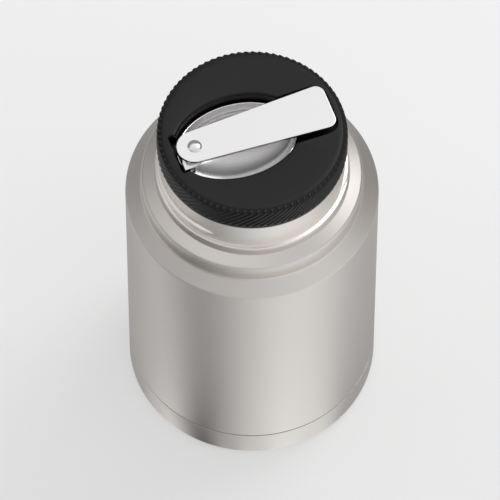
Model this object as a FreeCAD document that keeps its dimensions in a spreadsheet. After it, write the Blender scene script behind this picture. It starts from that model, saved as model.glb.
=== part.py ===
import FreeCAD, Part
import math
import os
import re
import Sketcher

# Insulated food jar: a double-walled steel vessel, a screw-in stopper with a ribbed grip,
# and a folding spoon that lies in the recess of the stopper.
# Millimetres, +Z up, origin on the jar's axis at the surface it stands on.
# The spoon's own direction is U (along its handle) and N (across it), turned about Z.

SIZES = {
    # outer vessel
    "body_radius": 49.0,
    "shell_wall": 0.8,
    "seam_height": 15.0,
    "seam_gap": 0.25,
    "shoulder_height": 124.4,
    "shoulder_round": 1.0,
    "shoulder_drop": 0.6,
    "shoulder_run": 0.5,
    "shoulder_rise": 0.3,
    "cone_run": 4.7,
    "cone_rise": 4.2,
    "step_fillet": 1.4,
    "step_rise": 6.6,
    "bead_round": 1.7,
    "bead_rise": 0.51,
    "bead_inner_drop": 0.68,
    "plateau_run": 3.7,
    "plateau_rise": 2.6,
    "collar_height": 3.7,
    "collar_round": 0.7,
    "collar_inset": 1.8,
    "neck_height": 17.3,
    # cup thread on the outside of the neck
    "thread_bite_share": 0.12,
    "thread_crest_share": 0.34,
    "cup_thread_pitch": 4.4,
    "cup_thread_turns": 0.74,
    "cup_thread_start": 340.0,
    "cup_thread_lift": 4.7,
    "cup_thread_depth": 1.5,
    "cup_thread_width": 2.6,
    # base
    "base_round": 3.5,
    "base_rim": 8.0,
    "base_recess": 1.6,
    "base_lap": 4.0,
    "floor_gap": 2.6,
    "port_radius": 1.5,
    "seal_radius": 4.0,
    "seal_height": 1.2,
    "seal_face_radius": 2.4,
    "seal_round": 3.6,
    # inner vessel
    "liner_wall": 0.6,
    "neck_vacuum": 0.4,
    "body_vacuum": 2.6,
    "bottom_vacuum": 3.6,
    "liner_round": 12.0,
    "liner_shoulder_drop": 3.0,
    "liner_cone_drop": 0.24,
    "mouth_lip": 0.8,
    "mouth_inner_round": 0.4,
    "land_inset": 0.9,
    "land_top": 20.0,
    "land_length": 7.0,
    "foil_thickness": 0.2,
    "foil_gap": 0.05,
    "foil_margin": 12.0,
    "getter_radius": 6.0,
    "getter_foot_radius": 4.8,
    "getter_height": 1.4,
    # stopper
    "cap_overhang": 0.85,
    "cap_height": 12.1,
    "cap_edge_run": 2.1,
    "cap_edge_drop": 1.2,
    "cap_edge_round": 2.94,
    "mouth_gap": 0.25,
    "rib_count": 84.0,
    "rib_depth": 0.45,
    "rib_lean": 42.0,
    "plug_clearance": 2.3,
    "plug_wall": 1.6,
    "plug_length": 27.0,
    "plug_floor": 1.6,
    "plug_round": 2.4,
    "groove_depth": 1.6,
    "groove_width": 3.6,
    "groove_offset": 3.2,
    "gasket_play": 0.3,
    "gasket_fit": 0.05,
    "gasket_waist": 0.72,
    "gasket_slope": 0.58,
    "gasket_lip": 0.58,
    "gasket_fall": 0.36,
    "gasket_gap": 0.46,
    "foam_play": 0.3,
    # stopper thread, inside the mouth and on the plug
    "screw_lead": 12.0,
    "screw_turns": 0.6,
    "screw_drop": 12.8,
    "screw_width": 1.7,
    "screw_depth": 0.9,
    "screw_play": 0.4,
    # recess for the spoon
    "spoon_angle": 20.3,
    "recess_play": 0.8,
    "recess_floor_play": 0.25,
    "recess_lip": 1.1,
    "recess_lip_drop": 0.55,
    "recess_wall": 1.4,
    "slot_half_width": 10.9,
    "slot_play": 0.6,
    "slot_corner": 5.0,
    "slot_depth": 3.6,
    "tang_play": 1.7,
    "cut_excess": 1.0,
    # spoon
    "bowl_margin": 6.55,
    "bowl_half_length": 24.0,
    "bowl_half_width": 17.0,
    "bowl_depth": 9.5,
    "bowl_drop": 4.5,
    "spoon_sheet": 1.0,
    "tang_inset": 0.5,
    "pivot_inset": 6.2,
    "tang_half_width": 6.9,
    "gusset_length": 4.1,
    "seat_round": 5.4,
    "tang_top": 0.2,
    "washer_radius": 4.6,
    "washer_thickness": 0.3,
    "handle_thickness": 1.4,
    "handle_end_radius": 6.95,
    "handle_tip_margin": 4.95,
    "handle_tip_half_width": 9.8,
    "handle_corner": 3.6,
    "pivot_play": 0.05,
    "rivet_radius": 1.8,
    "rivet_head_radius": 2.75,
    "rivet_head_height": 1.0,
}

doc = FreeCAD.newDocument("food_jar")
sizes = doc.addObject("Spreadsheet::Sheet", "sizes")
for row, (alias, number) in enumerate(SIZES.items(), start=1):
    sizes.set(f"A{row}", alias)
    sizes.set(f"B{row}", str(number))
    sizes.setAlias(f"B{row}", alias)
doc.recompute()

# Levels and radii that several pieces share, as formulas of the driving sizes
CONE_TOP = "(shoulder_height + cone_rise)"
STEP_RADIUS = "(body_radius - cone_run - step_fillet)"
STEP_TOP = "(shoulder_height + cone_rise + step_rise)"
PLATEAU_RADIUS = f"({STEP_RADIUS} - bead_round)"
PLATEAU_TOP = f"({STEP_TOP} + bead_rise + plateau_rise)"
COLLAR_RADIUS = f"({PLATEAU_RADIUS} - plateau_run)"
COLLAR_TOP = f"({PLATEAU_TOP} + collar_height)"
NECK_RADIUS = f"({COLLAR_RADIUS} - collar_inset)"
MOUTH = f"({PLATEAU_TOP} + neck_height)"
LIP_UNDERSIDE = f"({MOUTH} - mouth_lip)"
MOUTH_RADIUS = f"({NECK_RADIUS} - shell_wall - neck_vacuum - liner_wall)"
LAND_RADIUS = f"({MOUTH_RADIUS} - land_inset)"
LAND_TOP = f"({MOUTH} - land_top)"
LINER_RADIUS = "(body_radius - shell_wall - body_vacuum)"
VACUUM_FLOOR = "(seam_height - floor_gap)"
LINER_FLOOR = f"({VACUUM_FLOOR} + shell_wall + bottom_vacuum)"
LINER_SHOULDER = "(shoulder_height - liner_shoulder_drop)"
CAP_FOOT = f"({MOUTH} + mouth_gap)"
CAP_FACE = f"({CAP_FOOT} + cap_height)"
CAP_RADIUS = f"({NECK_RADIUS} + cap_overhang)"
PLUG_RADIUS = f"({MOUTH_RADIUS} - plug_clearance)"
PLUG_FLOOR = f"({CAP_FOOT} - plug_length)"
GROOVE_FOOT = f"({PLUG_FLOOR} + groove_offset)"
GROOVE_TOP = f"({GROOVE_FOOT} + groove_width)"
GROOVE_RADIUS = f"({PLUG_RADIUS} - groove_depth)"
BOWL_RIM = f"({CAP_FACE} - bowl_drop)"
TANG_TOP = f"({CAP_FACE} + tang_top)"
WASHER_TOP = f"({TANG_TOP} + washer_thickness)"
HANDLE_FOOT = f"({WASHER_TOP} + pivot_play)"
HANDLE_TOP = f"({HANDLE_FOOT} + handle_thickness)"
BOWL_END = f"(bowl_margin - {CAP_RADIUS})"
BOWL_CENTRE = f"({BOWL_END} + bowl_half_length)"
TANG_END = f"({BOWL_END} + tang_inset)"
PIVOT = f"({TANG_END} + pivot_inset)"
GUSSET_END = f"({TANG_END} + gusset_length)"
HANDLE_TIP = f"({CAP_RADIUS} - handle_tip_margin)"
SLOT_REACH = f"({HANDLE_TIP} + slot_play)"
TRAY_FOOT = f"({BOWL_RIM} - bowl_depth - recess_floor_play - recess_wall)"


def tie(formula):
    """The formula with each size pointing at its cell in the sheet."""
    words = re.compile(r"[a-z_]+[a-z_0-9]*")
    return words.sub(lambda word: f"sizes.{word[0]}" if word[0] in SIZES else word[0], formula)


def measure(formula):
    """The formula's value for the sizes as they stand."""
    known = {word: SIZES[word] for word in re.findall(r"[a-z_]+[a-z_0-9]*", formula) if word in SIZES}
    for word in sorted(known, key=len, reverse=True):
        formula = re.sub(rf"\b{word}\b", repr(known[word]), formula)
    return float(sizes.evalExpression(formula))


def new_body(label):
    body = doc.addObject("PartDesign::Body", label)
    body.Label = label
    return body


def origin_plane(body, role):
    return next(plane for plane in body.Origin.OriginFeatures if plane.Role == role)


def arc_between(start, end, radius, side):
    """The short arc from start to end: side +1 keeps its centre left of the way there."""
    chord = end - start
    reach = math.sqrt(max(radius ** 2 - (chord.Length / 2) ** 2, 0.0))
    left = FreeCAD.Vector(-chord.y, chord.x, 0).normalize()
    centre = (start + end) / 2 + left * reach * side
    first, last = (start, end) if side > 0 else (end, start)
    begin = math.atan2(first.y - centre.y, first.x - centre.x)
    stop = math.atan2(last.y - centre.y, last.x - centre.x)
    circle = Part.Circle(centre, FreeCAD.Vector(0, 0, 1), radius)
    return Part.ArcOfCircle(circle, begin, stop if stop > begin else stop + 2 * math.pi)


def hold(sketch, kind, terms, formula):
    """A driving dimension of the sketch, bound to its formula."""
    index = sketch.addConstraint(Sketcher.Constraint(kind, *terms, measure(formula)))
    sketch.setExpression(f"Constraints[{index}]", tie(formula))


def outline(body, name, corners, role="XZ_Plane", turn=0.0, lift=None):
    """A closed sketch: each corner is (across, up), or (across, up, radius, side) where
    the way to it is an arc."""
    sketch = body.newObject("Sketcher::SketchObject", name)
    sketch.AttachmentSupport = [(origin_plane(body, role), "")]
    sketch.MapMode = "FlatFace"
    spin = FreeCAD.Rotation(FreeCAD.Vector(0, 1, 0), turn)
    sketch.AttachmentOffset = FreeCAD.Placement(FreeCAD.Vector(0, 0, 0), spin)
    if lift:
        sketch.setExpression("AttachmentOffset.Base.z", tie(lift))
    points = [FreeCAD.Vector(measure(corner[0]), measure(corner[1]), 0) for corner in corners]
    ends = []
    for index, corner in enumerate(corners):
        start, end = points[index - 1], points[index]
        if len(corner) == 2:
            sketch.addGeometry(Part.LineSegment(start, end), False)
            ends.append((1, 2))
        else:
            side = corner[3]
            sketch.addGeometry(arc_between(start, end, measure(corner[2]), side), False)
            ends.append((1, 2) if side > 0 else (2, 1))
    for index, corner in enumerate(corners):
        after = (index + 1) % len(corners)
        here = ends[index][1]
        sketch.addConstraint(Sketcher.Constraint("Coincident", index, here, after, ends[after][0]))
        for axis, kind, line in ((0, "DistanceX", -2), (1, "DistanceY", -1)):
            if corner[axis] == "0":
                sketch.addConstraint(Sketcher.Constraint("PointOnObject", index, here, line))
            else:
                hold(sketch, kind, (-1, 1, index, here), corner[axis])
        if len(corner) == 4:
            hold(sketch, "Radius", (index,), corner[2])
    doc.recompute()
    return sketch


def turned(body, corners, name="profile"):
    """The outline turned about the upright axis."""
    sketch = outline(body, name, corners)
    feature = body.newObject("PartDesign::Revolution", f"{name}_turned")
    feature.Profile = sketch
    feature.ReferenceAxis = (sketch, ["V_Axis"])
    feature.Angle = 360
    doc.recompute()
    return feature


def padded(body, name, corners, length, role="XY_Plane", lift=None, both_sides=False):
    """The outline made a plate of the given thickness."""
    sketch = outline(body, name, corners, role=role, lift=lift)
    feature = body.newObject("PartDesign::Pad", f"{name}_pad")
    feature.Profile = sketch
    feature.setExpression("Length", tie(length))
    feature.Midplane = both_sides
    doc.recompute()
    return feature


def threaded(body, name, wall, crest, height, width, pitch, turns, start):
    """A thread ridge on a wall, wound to the right from the start angle."""
    foot = f"(({crest}) - ({wall})) * thread_bite_share"
    root = f"({wall}) - ({foot})"
    half = f"({width}) / 2"
    flat = f"({width}) * thread_crest_share / 2"
    corners = [
        (root, f"{height} - {half}"),
        (crest, f"{height} - {flat}"),
        (crest, f"{height} + {flat}"),
        (root, f"{height} + {half}"),
    ]
    sketch = outline(body, name, corners, turn=start)
    ridge = body.newObject("PartDesign::AdditiveHelix", f"{name}_ridge")
    ridge.Profile = sketch
    ridge.ReferenceAxis = (sketch, ["V_Axis"])
    ridge.Mode = 0
    ridge.setExpression("Pitch", tie(pitch))
    ridge.setExpression("Height", tie(f"{pitch} * {turns}"))
    doc.recompute()
    return ridge


def boolean(kind, label, base, tool):
    """A cut or a common part of two shapes."""
    result = doc.addObject(kind, label)
    result.Label = label
    result.Base = base
    result.Tool = tool
    doc.recompute()
    return result


def fused(label, *shapes):
    result = doc.addObject("Part::MultiFuse", label)
    result.Label = label
    result.Shapes = list(shapes)
    doc.recompute()
    return result


def half_ellipsoid(label, centre, depth, half_length, half_width, level):
    """The lower half of an ellipsoid, its flat side up at the level."""
    solid = doc.addObject("Part::Ellipsoid", label)
    solid.setExpression("Radius1", tie(depth))
    solid.setExpression("Radius2", tie(half_length))
    solid.setExpression("Radius3", tie(half_width))
    solid.Angle1 = -90
    solid.Angle2 = 0
    solid.setExpression("Placement.Base.x", tie(centre))
    solid.setExpression("Placement.Base.z", tie(level))
    doc.recompute()
    return solid


def elliptic_disc(body, name, centre, half_length, half_width, foot, height):
    """An upright elliptic column, its size bound to the formulas."""
    sketch = body.newObject("Sketcher::SketchObject", name)
    sketch.AttachmentSupport = [(origin_plane(body, "XY_Plane"), "")]
    sketch.MapMode = "FlatFace"
    sketch.setExpression("AttachmentOffset.Base.z", tie(foot))
    middle = FreeCAD.Vector(measure(centre), 0, 0)
    end = middle + FreeCAD.Vector(measure(half_length), 0, 0)
    side = middle + FreeCAD.Vector(0, measure(half_width), 0)
    ring = sketch.addGeometry(Part.Ellipse(end, side, middle), False)
    sketch.exposeInternalGeometry(ring)
    sketch.addConstraint(Sketcher.Constraint("PointOnObject", ring, 3, -1))
    hold(sketch, "DistanceX", (-1, 1, ring, 3), centre)
    sketch.addConstraint(Sketcher.Constraint("PointOnObject", ring + 1, 1, -1))
    hold(sketch, "Distance", (ring + 1,), f"2 * ({half_length})")
    hold(sketch, "Distance", (ring + 2,), f"2 * ({half_width})")
    feature = body.newObject("PartDesign::Pad", f"{name}_pad")
    feature.Profile = sketch
    feature.setExpression("Length", tie(height))
    doc.recompute()
    return feature


def turn_to_spoon(item):
    """Places a shape made along X in the spoon's own direction."""
    item.setExpression("Placement.Rotation.Angle", tie("spoon_angle"))
    item.setExpression("Placement.Rotation.Axis.z", "1")
    doc.recompute()


# Outer vessel


def make_outer_shell():
    """Body wall, shoulder, plateau and threaded neck, drawn from one sheet."""
    body = new_body("outer_shell")
    wall = "shell_wall"
    inner_step = f"({STEP_RADIUS} - {wall})"
    corners = [
        ("body_radius", "seam_height + seam_gap"),
        ("body_radius", "shoulder_height - shoulder_drop"),
        ("body_radius - shoulder_run", "shoulder_height + shoulder_rise", "shoulder_round", 1),
        (f"{STEP_RADIUS} + step_fillet", CONE_TOP),
        (STEP_RADIUS, f"{CONE_TOP} + step_fillet", "step_fillet", -1),
        (STEP_RADIUS, f"{STEP_TOP} + bead_rise - bead_round"),
        (PLATEAU_RADIUS, f"{STEP_TOP} + bead_rise", "bead_round", 1),
        (COLLAR_RADIUS, PLATEAU_TOP),
        (COLLAR_RADIUS, f"{COLLAR_TOP} - collar_round"),
        (f"{COLLAR_RADIUS} - collar_round", COLLAR_TOP, "collar_round", 1),
        (NECK_RADIUS, f"{COLLAR_TOP} + collar_round"),
        (NECK_RADIUS, LIP_UNDERSIDE),
        (f"{NECK_RADIUS} - {wall}", LIP_UNDERSIDE),
        (f"{NECK_RADIUS} - {wall}", PLATEAU_TOP),
        (f"{COLLAR_RADIUS} - {wall}", f"{PLATEAU_TOP} - {wall}"),
        (inner_step, f"{STEP_TOP} - {wall} - bead_inner_drop"),
        (inner_step, f"{CONE_TOP} + step_fillet"),
        (f"{STEP_RADIUS} + step_fillet - {wall}", f"{CONE_TOP} - {wall}"),
        (f"body_radius - {wall}", f"shoulder_height - {wall}"),
        (f"body_radius - {wall}", "seam_height + seam_gap"),
    ]
    turned(body, corners)
    threaded(
        body, "cup_thread", NECK_RADIUS, f"{NECK_RADIUS} + cup_thread_depth",
        f"{PLATEAU_TOP} + cup_thread_lift", "cup_thread_width", "cup_thread_pitch",
        "cup_thread_turns", measure("cup_thread_start"),
    )
    return body


def make_base_cap():
    """The cup-shaped base under the seam, with its raised middle and its lap inside the shell."""
    body = new_body("base_cap")
    wall = "shell_wall"
    corners = [
        ("0", "base_recess"),
        ("body_radius - base_rim - base_recess", "base_recess"),
        ("body_radius - base_rim", "0"),
        ("body_radius - base_round", "0"),
        ("body_radius", "base_round", "base_round", 1),
        ("body_radius", "seam_height"),
        (f"body_radius - {wall} - seam_gap", "seam_height"),
        (f"body_radius - {wall} - seam_gap", "seam_height + base_lap"),
        (f"body_radius - 2 * {wall}", "seam_height + base_lap"),
        (f"body_radius - 2 * {wall}", "base_round"),
        ("body_radius - base_round", f"2 * {wall}", f"base_round - 2 * {wall}", -1),
        ("body_radius - base_rim", f"2 * {wall}"),
        ("body_radius - base_rim - base_recess", f"base_recess + {wall}"),
        ("0", f"base_recess + {wall}"),
    ]
    turned(body, corners)
    return body


def make_vacuum_bottom():
    """The plate that closes the outer vessel, dished round its evacuation port."""
    body = new_body("vacuum_bottom")
    wall = "shell_wall"
    rim = f"(body_radius - 2 * {wall})"
    corners = [
        ("port_radius", VACUUM_FLOOR),
        (rim, VACUUM_FLOOR),
        (rim, "seam_height + base_lap"),
        (f"{rim} - {wall}", "seam_height + base_lap"),
        (f"{rim} - {wall}", f"{VACUUM_FLOOR} + {wall}"),
        ("port_radius", f"{VACUUM_FLOOR} + {wall}"),
    ]
    turned(body, corners)
    return body


def make_port_seal():
    """The bead that seals the evacuation port: a plug with a domed head below the plate."""
    body = new_body("port_seal")
    corners = [
        ("0", f"{VACUUM_FLOOR} - seal_height"),
        ("seal_face_radius", f"{VACUUM_FLOOR} - seal_height"),
        ("seal_radius", VACUUM_FLOOR, "seal_round", 1),
        ("port_radius", VACUUM_FLOOR),
        ("port_radius", f"{VACUUM_FLOOR} + shell_wall"),
        ("0", f"{VACUUM_FLOOR} + shell_wall"),
    ]
    turned(body, corners)
    return body


# Inner vessel


def make_inner_vessel():
    """The food vessel: rolled lip, threaded mouth, sealing land, shoulder and round floor."""
    body = new_body("inner_vessel")
    wall = "liner_wall"
    floor = LINER_FLOOR
    corners = [
        ("0", floor),
        (f"{LINER_RADIUS} - liner_round", floor),
        (LINER_RADIUS, f"{floor} + liner_round", "liner_round", 1),
        (LINER_RADIUS, LINER_SHOULDER),
        (f"{LAND_RADIUS} + {wall}", f"{LAND_TOP} - land_length"),
        (f"{LAND_RADIUS} + {wall}", LAND_TOP),
        (f"{MOUTH_RADIUS} + {wall}", f"{LAND_TOP} + land_inset"),
        (f"{MOUTH_RADIUS} + {wall}", LIP_UNDERSIDE),
        (NECK_RADIUS, LIP_UNDERSIDE),
        (f"{NECK_RADIUS} - mouth_lip", MOUTH, "mouth_lip", 1),
        (f"{MOUTH_RADIUS} + mouth_inner_round", MOUTH),
        (MOUTH_RADIUS, f"{MOUTH} - mouth_inner_round", "mouth_inner_round", 1),
        (MOUTH_RADIUS, f"{LAND_TOP} + land_inset"),
        (LAND_RADIUS, LAND_TOP),
        (LAND_RADIUS, f"{LAND_TOP} - land_length"),
        (f"{LINER_RADIUS} - {wall}", f"{LINER_SHOULDER} - liner_cone_drop"),
        (f"{LINER_RADIUS} - {wall}", f"{floor} + liner_round"),
        (f"{LINER_RADIUS} - liner_round", f"{floor} + {wall}", f"liner_round - {wall}", -1),
        ("0", f"{floor} + {wall}"),
    ]
    turned(body, corners)
    for start in (0, 180):
        threaded(
            body, f"mouth_thread_{start}", MOUTH_RADIUS, f"{MOUTH_RADIUS} - screw_depth",
            f"{MOUTH} - screw_drop", "screw_width", "screw_lead", "screw_turns", start,
        )
    return body


def make_foil_wrap():
    """The heat-reflecting foil round the inner vessel's straight wall."""
    body = new_body("foil_wrap")
    inner = f"({LINER_RADIUS} + foil_gap)"
    low = f"{LINER_FLOOR} + liner_round"
    high = f"{LINER_SHOULDER} - foil_margin"
    corners = [
        (inner, low),
        (f"{inner} + foil_thickness", low),
        (f"{inner} + foil_thickness", high),
        (inner, high),
    ]
    turned(body, corners)
    return body


def make_getter():
    """The getter pellet holder, spot-welded under the inner vessel."""
    body = new_body("getter")
    corners = [
        ("0", f"{LINER_FLOOR} - getter_height"),
        ("getter_foot_radius", f"{LINER_FLOOR} - getter_height"),
        ("getter_radius", LINER_FLOOR),
        ("0", LINER_FLOOR),
    ]
    turned(body, corners)
    return body


# Stopper


def make_stopper_plug():
    """The hollow threaded plug under the cap, with the groove for its seal."""
    body = new_body("stopper_plug")
    wall = "plug_wall"
    corners = [
        ("0", PLUG_FLOOR),
        (f"{PLUG_RADIUS} - plug_round", PLUG_FLOOR),
        (PLUG_RADIUS, f"{PLUG_FLOOR} + plug_round", "plug_round", 1),
        (PLUG_RADIUS, GROOVE_FOOT),
        (GROOVE_RADIUS, GROOVE_FOOT),
        (GROOVE_RADIUS, GROOVE_TOP),
        (PLUG_RADIUS, GROOVE_TOP),
        (PLUG_RADIUS, CAP_FOOT),
        (f"{PLUG_RADIUS} - {wall}", CAP_FOOT),
        (f"{PLUG_RADIUS} - {wall}", f"{GROOVE_TOP} + {wall}"),
        (f"{GROOVE_RADIUS} - {wall}", f"{GROOVE_TOP} + {wall}"),
        (f"{GROOVE_RADIUS} - {wall}", f"{PLUG_FLOOR} + plug_floor"),
        ("0", f"{PLUG_FLOOR} + plug_floor"),
    ]
    turned(body, corners)
    crest = f"{MOUTH_RADIUS} - screw_play"
    level = f"{MOUTH} - screw_drop - screw_width - screw_play"
    for start in (0, 180):
        threaded(
            body, f"plug_thread_{start}", PLUG_RADIUS, crest, level, "screw_width",
            "screw_lead", "screw_turns", start,
        )
    return body


def make_stopper_seal():
    """The silicone ring: two lips that press on the mouth's land."""
    body = new_body("stopper_seal")
    rim = f"({LAND_RADIUS} - gasket_play)"
    foot = f"({GROOVE_FOOT} + gasket_fit)"
    top = f"({GROOVE_TOP} - gasket_fit)"
    waist = f"({rim} - gasket_waist)"
    inner = f"({GROOVE_RADIUS} + gasket_fit)"
    lower_lip = f"{foot} + gasket_slope"
    upper_lip = f"{top} - gasket_slope"
    corners = [
        (inner, foot),
        (waist, foot),
        (rim, lower_lip),
        (rim, f"{lower_lip} + gasket_lip"),
        (waist, f"{lower_lip} + gasket_lip + gasket_fall"),
        (waist, f"{lower_lip} + gasket_lip + gasket_fall + gasket_gap"),
        (rim, f"{upper_lip} - gasket_lip"),
        (rim, upper_lip),
        (waist, top),
        (inner, top),
    ]
    turned(body, corners)
    return body


def make_stopper_foam():
    """The foam puck that insulates the plug."""
    body = new_body("stopper_foam")
    radius = f"({GROOVE_RADIUS} - plug_wall - foam_play)"
    foot = f"{PLUG_FLOOR} + plug_floor"
    top = f"{TRAY_FOOT} - foam_play"
    corners = [
        ("0", foot),
        (radius, foot),
        (radius, top),
        ("0", top),
    ]
    turned(body, corners)
    return body


def make_ribbed_grip():
    """The grip's solid column: a ring of round-crested ribs, wound to the right as it rises."""
    radius = measure(CAP_RADIUS)
    depth = measure("rib_depth")
    height = measure("cap_height")
    count = int(round(measure("rib_count")))
    foot = measure(CAP_FOOT)
    step = 2 * math.pi / count
    edges = []
    for index in range(count):
        angles = (index * step, (index + 0.5) * step, (index + 1) * step)
        reach = (radius - depth, radius, radius - depth)
        valley, crest, after = (
            FreeCAD.Vector(r * math.cos(angle), r * math.sin(angle), foot)
            for r, angle in zip(reach, angles)
        )
        edges.append(Part.Arc(valley, crest, after).toShape())
    section = Part.Wire(edges)
    spine = Part.Wire([Part.makeLine((0, 0, foot), (0, 0, foot + height))])
    pitch = 2 * math.pi * radius * math.tan(math.radians(measure("rib_lean")))
    guide = Part.makeHelix(pitch, height, radius)
    guide.translate(FreeCAD.Vector(0, 0, foot))
    sweep = Part.BRepOffsetAPI.MakePipeShell(spine)
    sweep.setAuxiliarySpine(Part.Wire(guide.Edges), True, 0)
    sweep.add(section)
    sweep.build()
    sweep.makeSolid()
    grip = doc.addObject("Part::Feature", "ribbed_grip")
    grip.Shape = sweep.shape()
    return grip


def make_recess_tool():
    """The space for the spoon: bowl hollow, pocket for its square end and slot for its handle."""
    body = new_body("recess_upper")
    half_length = "(bowl_half_length + recess_play)"
    half_width = "(bowl_half_width + recess_play)"
    height = "(bowl_drop + cut_excess)"
    elliptic_disc(body, "bowl_opening", BOWL_CENTRE, half_length, half_width, BOWL_RIM, height)
    lip = "recess_lip"
    elliptic_disc(
        body, "bowl_lip", BOWL_CENTRE, f"{half_length} + {lip}", f"{half_width} + {lip}",
        f"{CAP_FACE} - recess_lip_drop", "recess_lip_drop + cut_excess",
    )
    wide = "slot_half_width"
    corner = "slot_corner"
    slot = [
        (BOWL_CENTRE, f"-1 * {wide}"),
        (f"{SLOT_REACH} - {corner}", f"-1 * {wide}"),
        (SLOT_REACH, f"{corner} - {wide}", corner, 1),
        (SLOT_REACH, f"{wide} - {corner}"),
        (f"{SLOT_REACH} - {corner}", wide, corner, 1),
        (BOWL_CENTRE, wide),
    ]
    padded(body, "handle_slot", slot, "slot_depth + cut_excess", lift=f"{CAP_FACE} - slot_depth")
    end = f"({TANG_END} - tang_play)"
    side = "(tang_half_width + tang_play)"
    pocket = [
        (end, f"-1 * {side}"),
        (BOWL_CENTRE, f"-1 * {side}"),
        (BOWL_CENTRE, side),
        (end, side),
    ]
    floor = f"({BOWL_RIM} - spoon_sheet - cut_excess)"
    padded(body, "tang_pocket", pocket, f"{CAP_FACE} + cut_excess - {floor}", lift=floor)
    lower = half_ellipsoid(
        "recess_lower", BOWL_CENTRE, "bowl_depth + recess_floor_play", half_length, half_width, BOWL_RIM,
    )
    return fused("recess_tool", body, lower)


def make_tray():
    """The underside of the recess, hanging below the cap's flange."""
    extra = "recess_play + recess_wall"
    return half_ellipsoid(
        "recess_tray", BOWL_CENTRE, "bowl_depth + recess_floor_play + recess_wall",
        f"bowl_half_length + {extra}", f"bowl_half_width + {extra}", BOWL_RIM,
    )


def make_stopper_cap():
    """The cap: ribbed side, rounded edge, flat face and the spoon's recess."""
    envelope = new_body("cap_envelope")
    corners = [
        ("0", CAP_FOOT),
        (f"{CAP_RADIUS} + cut_excess", CAP_FOOT),
        (f"{CAP_RADIUS} + cut_excess", f"{CAP_FACE} - cap_edge_drop - cap_edge_run"),
        (CAP_RADIUS, f"{CAP_FACE} - cap_edge_drop"),
        (f"{CAP_RADIUS} - cap_edge_run", CAP_FACE, "cap_edge_round", 1),
        ("0", CAP_FACE),
    ]
    turned(envelope, corners)
    disc = boolean("Part::Common", "cap_disc", make_ribbed_grip(), envelope)
    tray = make_tray()
    turn_to_spoon(tray)
    recess = make_recess_tool()
    turn_to_spoon(recess)
    blank = fused("cap_blank", disc, tray)
    return boolean("Part::Cut", "stopper_cap", blank, recess)


# Spoon


def make_spoon_bowl():
    """The bowl and, turned up and over from its end, the flat seat that carries the pivot."""
    outer = half_ellipsoid(
        "bowl_outside", BOWL_CENTRE, "bowl_depth", "bowl_half_length", "bowl_half_width", BOWL_RIM,
    )
    inner = half_ellipsoid(
        "bowl_inside", BOWL_CENTRE, "bowl_depth - spoon_sheet",
        "bowl_half_length - spoon_sheet", "bowl_half_width - spoon_sheet", BOWL_RIM,
    )
    shell = boolean("Part::Cut", "bowl_shell", outer, inner)
    half = "tang_half_width"
    sheet = "spoon_sheet"
    deep = f"({BOWL_RIM} - bowl_depth)"
    walls = [
        (TANG_END, f"-1 * {half}"),
        (GUSSET_END, f"-1 * {half}"),
        (GUSSET_END, f"{sheet} - {half}"),
        (f"{TANG_END} + {sheet}", f"{sheet} - {half}"),
        (f"{TANG_END} + {sheet}", f"{half} - {sheet}"),
        (GUSSET_END, f"{half} - {sheet}"),
        (GUSSET_END, half),
        (TANG_END, half),
    ]
    upright = new_body("seat_walls")
    padded(upright, "wall_plan", walls, f"{TANG_TOP} - {deep}", lift=deep)
    limit = new_body("seat_limit")
    elliptic_disc(
        limit, "above_rim", BOWL_CENTRE, f"bowl_half_length + {half}", f"bowl_half_width + {half}",
        f"{BOWL_RIM} - {sheet}", "bowl_drop + bowl_depth",
    )
    room = fused("seat_room", limit, outer)
    standing = boolean("Part::Common", "standing_walls", upright, room)
    plate = new_body("seat_plate")
    plan = [
        (TANG_END, f"-1 * {half}"),
        (GUSSET_END, f"-1 * {half}"),
        (PIVOT, "-1 * seat_round"),
        (f"{PIVOT} + seat_round", "0", "seat_round", 1),
        (PIVOT, "seat_round", "seat_round", 1),
        (GUSSET_END, half),
        (TANG_END, half),
    ]
    padded(plate, "seat_plan", plan, sheet, lift=f"{TANG_TOP} - {sheet}")
    hole = new_body("seat_hole")
    bore = "rivet_radius + pivot_play"
    padded_disc(hole, "pivot_hole", PIVOT, bore, f"{TANG_TOP} - 2 * {sheet}", f"3 * {sheet}")
    whole = fused("bowl_blank", shell, standing, plate)
    bowl = boolean("Part::Cut", "spoon_bowl", whole, hole)
    turn_to_spoon(bowl)
    return bowl


def padded_disc(body, name, centre, radius, foot, height):
    """A round column on the spoon's line, its centre at the given place."""
    sketch = body.newObject("Sketcher::SketchObject", name)
    sketch.AttachmentSupport = [(origin_plane(body, "XY_Plane"), "")]
    sketch.MapMode = "FlatFace"
    sketch.setExpression("AttachmentOffset.Base.z", tie(foot))
    middle = FreeCAD.Vector(measure(centre), 0, 0)
    ring = sketch.addGeometry(Part.Circle(middle, FreeCAD.Vector(0, 0, 1), measure(radius)), False)
    sketch.addConstraint(Sketcher.Constraint("PointOnObject", ring, 3, -1))
    hold(sketch, "DistanceX", (-1, 1, ring, 3), centre)
    hold(sketch, "Radius", (ring,), radius)
    feature = body.newObject("PartDesign::Pad", f"{name}_pad")
    feature.Profile = sketch
    feature.setExpression("Length", tie(height))
    doc.recompute()
    return feature


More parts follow.
